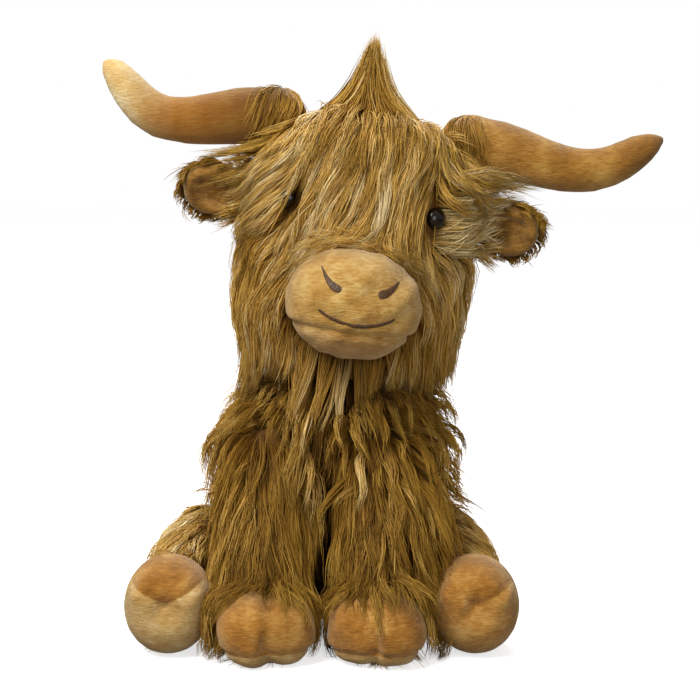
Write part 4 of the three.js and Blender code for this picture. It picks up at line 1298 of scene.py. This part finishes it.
def body_flow(points):
    x, y, z = points.T
    return unit(unit(ways_of(x - 4, y - 8, 0)) * 0.2 + (0, 0, -1))


def body_grows(points):
    """1 where hair grows on the torso, 0 under the head, under the front legs and on the seat."""
    x, y, z = points.T
    grows = np.ones(len(x))
    grows[z < 4] = 0
    grows[(np.linalg.norm(points - NECK, axis=1) < NECK_RADIUS + 1) & (z > NECK[2] + 6)] = 0
    for _, side in SIDES:
        grows[np.linalg.norm(points - at_side(SHOULDER, side), axis=1) < 24] = 0
    return grows


torso_tree = tree_of(torso, *front_legs.values(), *rear_legs.values())
for name, count, test in (
    ("torso_chest_hair", 2600, lambda p: p[:, 1] < 8),
    ("torso_back_hair", 3700, lambda p: p[:, 1] >= 8),
):
    coat(
        name,
        "torso",
        torso,
        torso_tree,
        body_flow,
        lambda p: 38 + 12 * ease(p[:, 2], 90, 130) - 16 * ease(-p[:, 1], 20, 36) * ease(p[:, 2], 80, 60),
        count,
        380,
        lambda p, test=test: body_grows(p) * test(p) * (1 + 2 * ease(p[:, 2], 90, 125)),
        # Tone 0.46, darker down the middle of the chest's front, between the front legs and under the beard:
        # painted shade
        lambda p: 0.46 - 0.35 * ease(-p[:, 1], 12, 30) * ease(np.abs(p[:, 0] - 6), 26, 10),
        points=5,
        cover=(3.0, 13.0),
        lift=0.8,
    )


def shoulder_coat(word, side):
    """The full ruff over each shoulder, which joins the head's hair to the leg's."""

    def flow(points):
        x, y, z = points.T
        out = unit(ways_of(x - 6, 0.6 * (y + 8), 0))
        over = 0.45 * ease(-y, 5, 25) * ease(z, 96, 112)
        return unit(out * 0.3 + ways_of(0, -0.2 - over, -0.9 + over / 2))

    def grows(points):
        x, y, z = points.T
        inside = (side * (x - 6) > 12 * ease(-y, 10, 30)) & (z > 96) & (z < 150)
        return inside * (1 + 2 * ease(z, 110, 135) + 2 * ease(-y, 8, 24))

    coat(
        f"torso_shoulder_{word}_hair",
        "torso",
        torso,
        torso_tree,
        flow,
        lambda p: rng.uniform(28, 46, len(p)) + 20 * ease(-p[:, 1], 5, 25),
        3050,
        280,
        grows,
        0.5 if side > 0 else 0.58,
        clump=COMBED,
        frizz=0.9,
        wave=(3.0, 50.0),
        cover=(11.0, 26.0) if side > 0 else (5.0, 17.0),
        lift=0.6,
        stiff=0.6,
    )


def leg_coat(word, side):
    """Long hair down a front leg, in an outer and an inner piece, which parts over the hoof."""
    skin = front_legs[word]
    tree = tree_of(skin, *front_hooves[word])

    def flow(points):
        x, y, z = points.T
        return unit(ways_of(0.012 * side * np.maximum(side * x - SHOULDER[0], 0), -0.42, -0.9))

    def grows(points):
        x, y, z = points.T
        return np.where(((y > -30) & (z < 90)) | (z < 14), 0.0, 1.0)

    for part, test, count, cover, base in (
        ("outer", lambda x: side * x >= SHOULDER[0], 3200, (3.0, 11.0) if side > 0 else (2.0, 9.0), 0.42),
        # The inner piece's base tone, 0.34 against the outer's 0.42, is painted shade between the front legs
        ("inner", lambda x: side * x < SHOULDER[0], 2900, (1.0, 5.0), 0.34),
    ):
        fuller = side > 0 and part == "outer"
        coat(
            f"front_leg_{word}_{part}_hair",
            f"front_leg_{word}",
            skin,
            tree,
            flow,
            lambda p: 46 + 16 * ease(p[:, 2], 50, 90),
            count,
            230,
            lambda p, test=test: grows(p) * test(p[:, 0]),
            lambda p, base=base: base + 0.12 * np.sin(0.21 * p[:, 0] + 0.6) * np.sin(0.11 * p[:, 2]),
            clump=COMBED,
            frizz=1.4,
            wave=(4.2, 58.0),
            cover=cover,
            fuller=lambda p, fuller=fuller: 1 + fuller * ease(p[:, 2], 55, 85),
        )


def thigh_coat(word, side):
    """Short hair on a rear leg, which lies close and runs forward to the hoof."""

    def flow(points):
        return unit(np.zeros_like(points) + (side * 0.25, -0.7, -0.7))

    def grows(points):
        x, y, z = points.T
        return np.where((z < 6) | (side * x < 62), 0.0, 1.0 + 1.5 * ease(z, 42, 58))

    coat(
        f"rear_leg_{word}_hair",
        f"rear_leg_{word}",
        rear_legs[word],
        tree_of(rear_legs[word], *rear_hooves[word]),
        flow,
        (24, 40),
        3050,
        240,
        grows,
        0.62 if side > 0 else 0.76,
        points=5,
        cover=(0.8, 3.5),
        lift=0.35,
    )


def tail_coat():
    """Short hair down the tail's cord, and the long tuft round its end."""
    tuft_top = TAIL_ROOT[2] - TAIL_DROP + 12

    def flow(points):
        return unit(np.zeros_like(points) + (0, 0.12, -1.0))

    for name, count, long, low, high, nodes in (
        ("tail_cord_hair", 700, 12, tuft_top, 99, ()),
        ("tail_tuft_hair", 1100, 30, -99, tuft_top, ["tail_tuft"]),
    ):
        coat(
            name,
            "tail",
            tail,
            tree_of(tail),
            flow,
            lambda p, long=long: long + 0 * p[:, 0],
            count,
            70,
            lambda p, low=low, high=high: ((p[:, 2] > low) & (p[:, 2] <= high)).astype(float),
            nodes=nodes,
            points=5,
            cover=(1.0, 6.0),
        )


for word, side in SIDES:
    shoulder_coat(word, side)
    leg_coat(word, side)
    thigh_coat(word, side)
tail_coat()

# Floor, light and camera

WHITE = colour("#ffffff")


def floor():
    """A floor that the camera sees as white but for the toy's soft shadow."""
    shape = bmesh.new()
    bmesh.ops.create_grid(shape, x_segments=1, y_segments=1, size=4000)
    obj = object_of("floor", shape)
    paint = new_material("white_studio_floor")
    seen = add(paint, "ShaderNodeLightPath").outputs["Is Camera Ray"]
    lifted = add(paint, "ShaderNodeMath", {"operation": "MULTIPLY"}, {0: seen, 1: 0.7}).outputs["Value"]
    shade = mixed(paint, seen, colour("#7c7468"), WHITE, "RGBA", "MIX")
    obj.data.materials.append(surface(paint, shade, 0.9, Emission_Color=WHITE, Emission_Strength=lifted))


def world():
    """White where the camera looks past the toy, and a soft light on everything else."""
    sky = bpy.data.worlds.new("studio")
    bpy.context.scene.world = sky
    sky.use_nodes = True
    sky.node_tree.nodes.clear()
    seen = add(sky, "ShaderNodeLightPath").outputs["Is Camera Ray"]
    soft, bright = (
        add(sky, "ShaderNodeBackground", None, {"Color": WHITE, "Strength": strength}).outputs["Background"]
        for strength in (0.28, 1.0)
    )
    both = add(sky, "ShaderNodeMixShader", None, {0: seen, 1: soft, 2: bright})
    add(sky, "ShaderNodeOutputWorld", None, {"Surface": both.outputs["Shader"]})


def lights():
    for name, place, size, power in (
        ("key", (-0.6, -0.8, 1.15), 0.6, 17),
        ("fill", (0.5, -1.5, 0.35), 0.9, 5),
        ("rim", (0.0, 0.7, 1.3), 0.7, 12),
    ):
        lamp = bpy.data.lights.new(name, "AREA")
        lamp.size, lamp.energy = size, power
        obj = linked(name, lamp)
        obj.location = place
        aim = Vector((0.0, 0.0, 0.15)) - obj.location
        obj.rotation_euler = aim.to_track_quat("-Z", "Y").to_euler()


def camera():
    """The photograph's viewpoint."""
    scene = bpy.context.scene
    obj = linked("camera", bpy.data.cameras.new("camera"))
    obj.data.lens, obj.data.sensor_width = CAMERA_LENS, CAMERA_SENSOR
    tilt = math.radians(CAMERA_ELEVATION)
    back = Vector((0, -math.cos(tilt), math.sin(tilt))) * CAMERA_DISTANCE
    obj.location = (Vector(CAMERA_TARGET) + back) * MM
    obj.rotation_euler = (math.pi / 2 - tilt, 0, 0)
    scene.camera = obj
    scene.view_settings.view_transform = "Standard"


floor()
world()
lights()
camera()
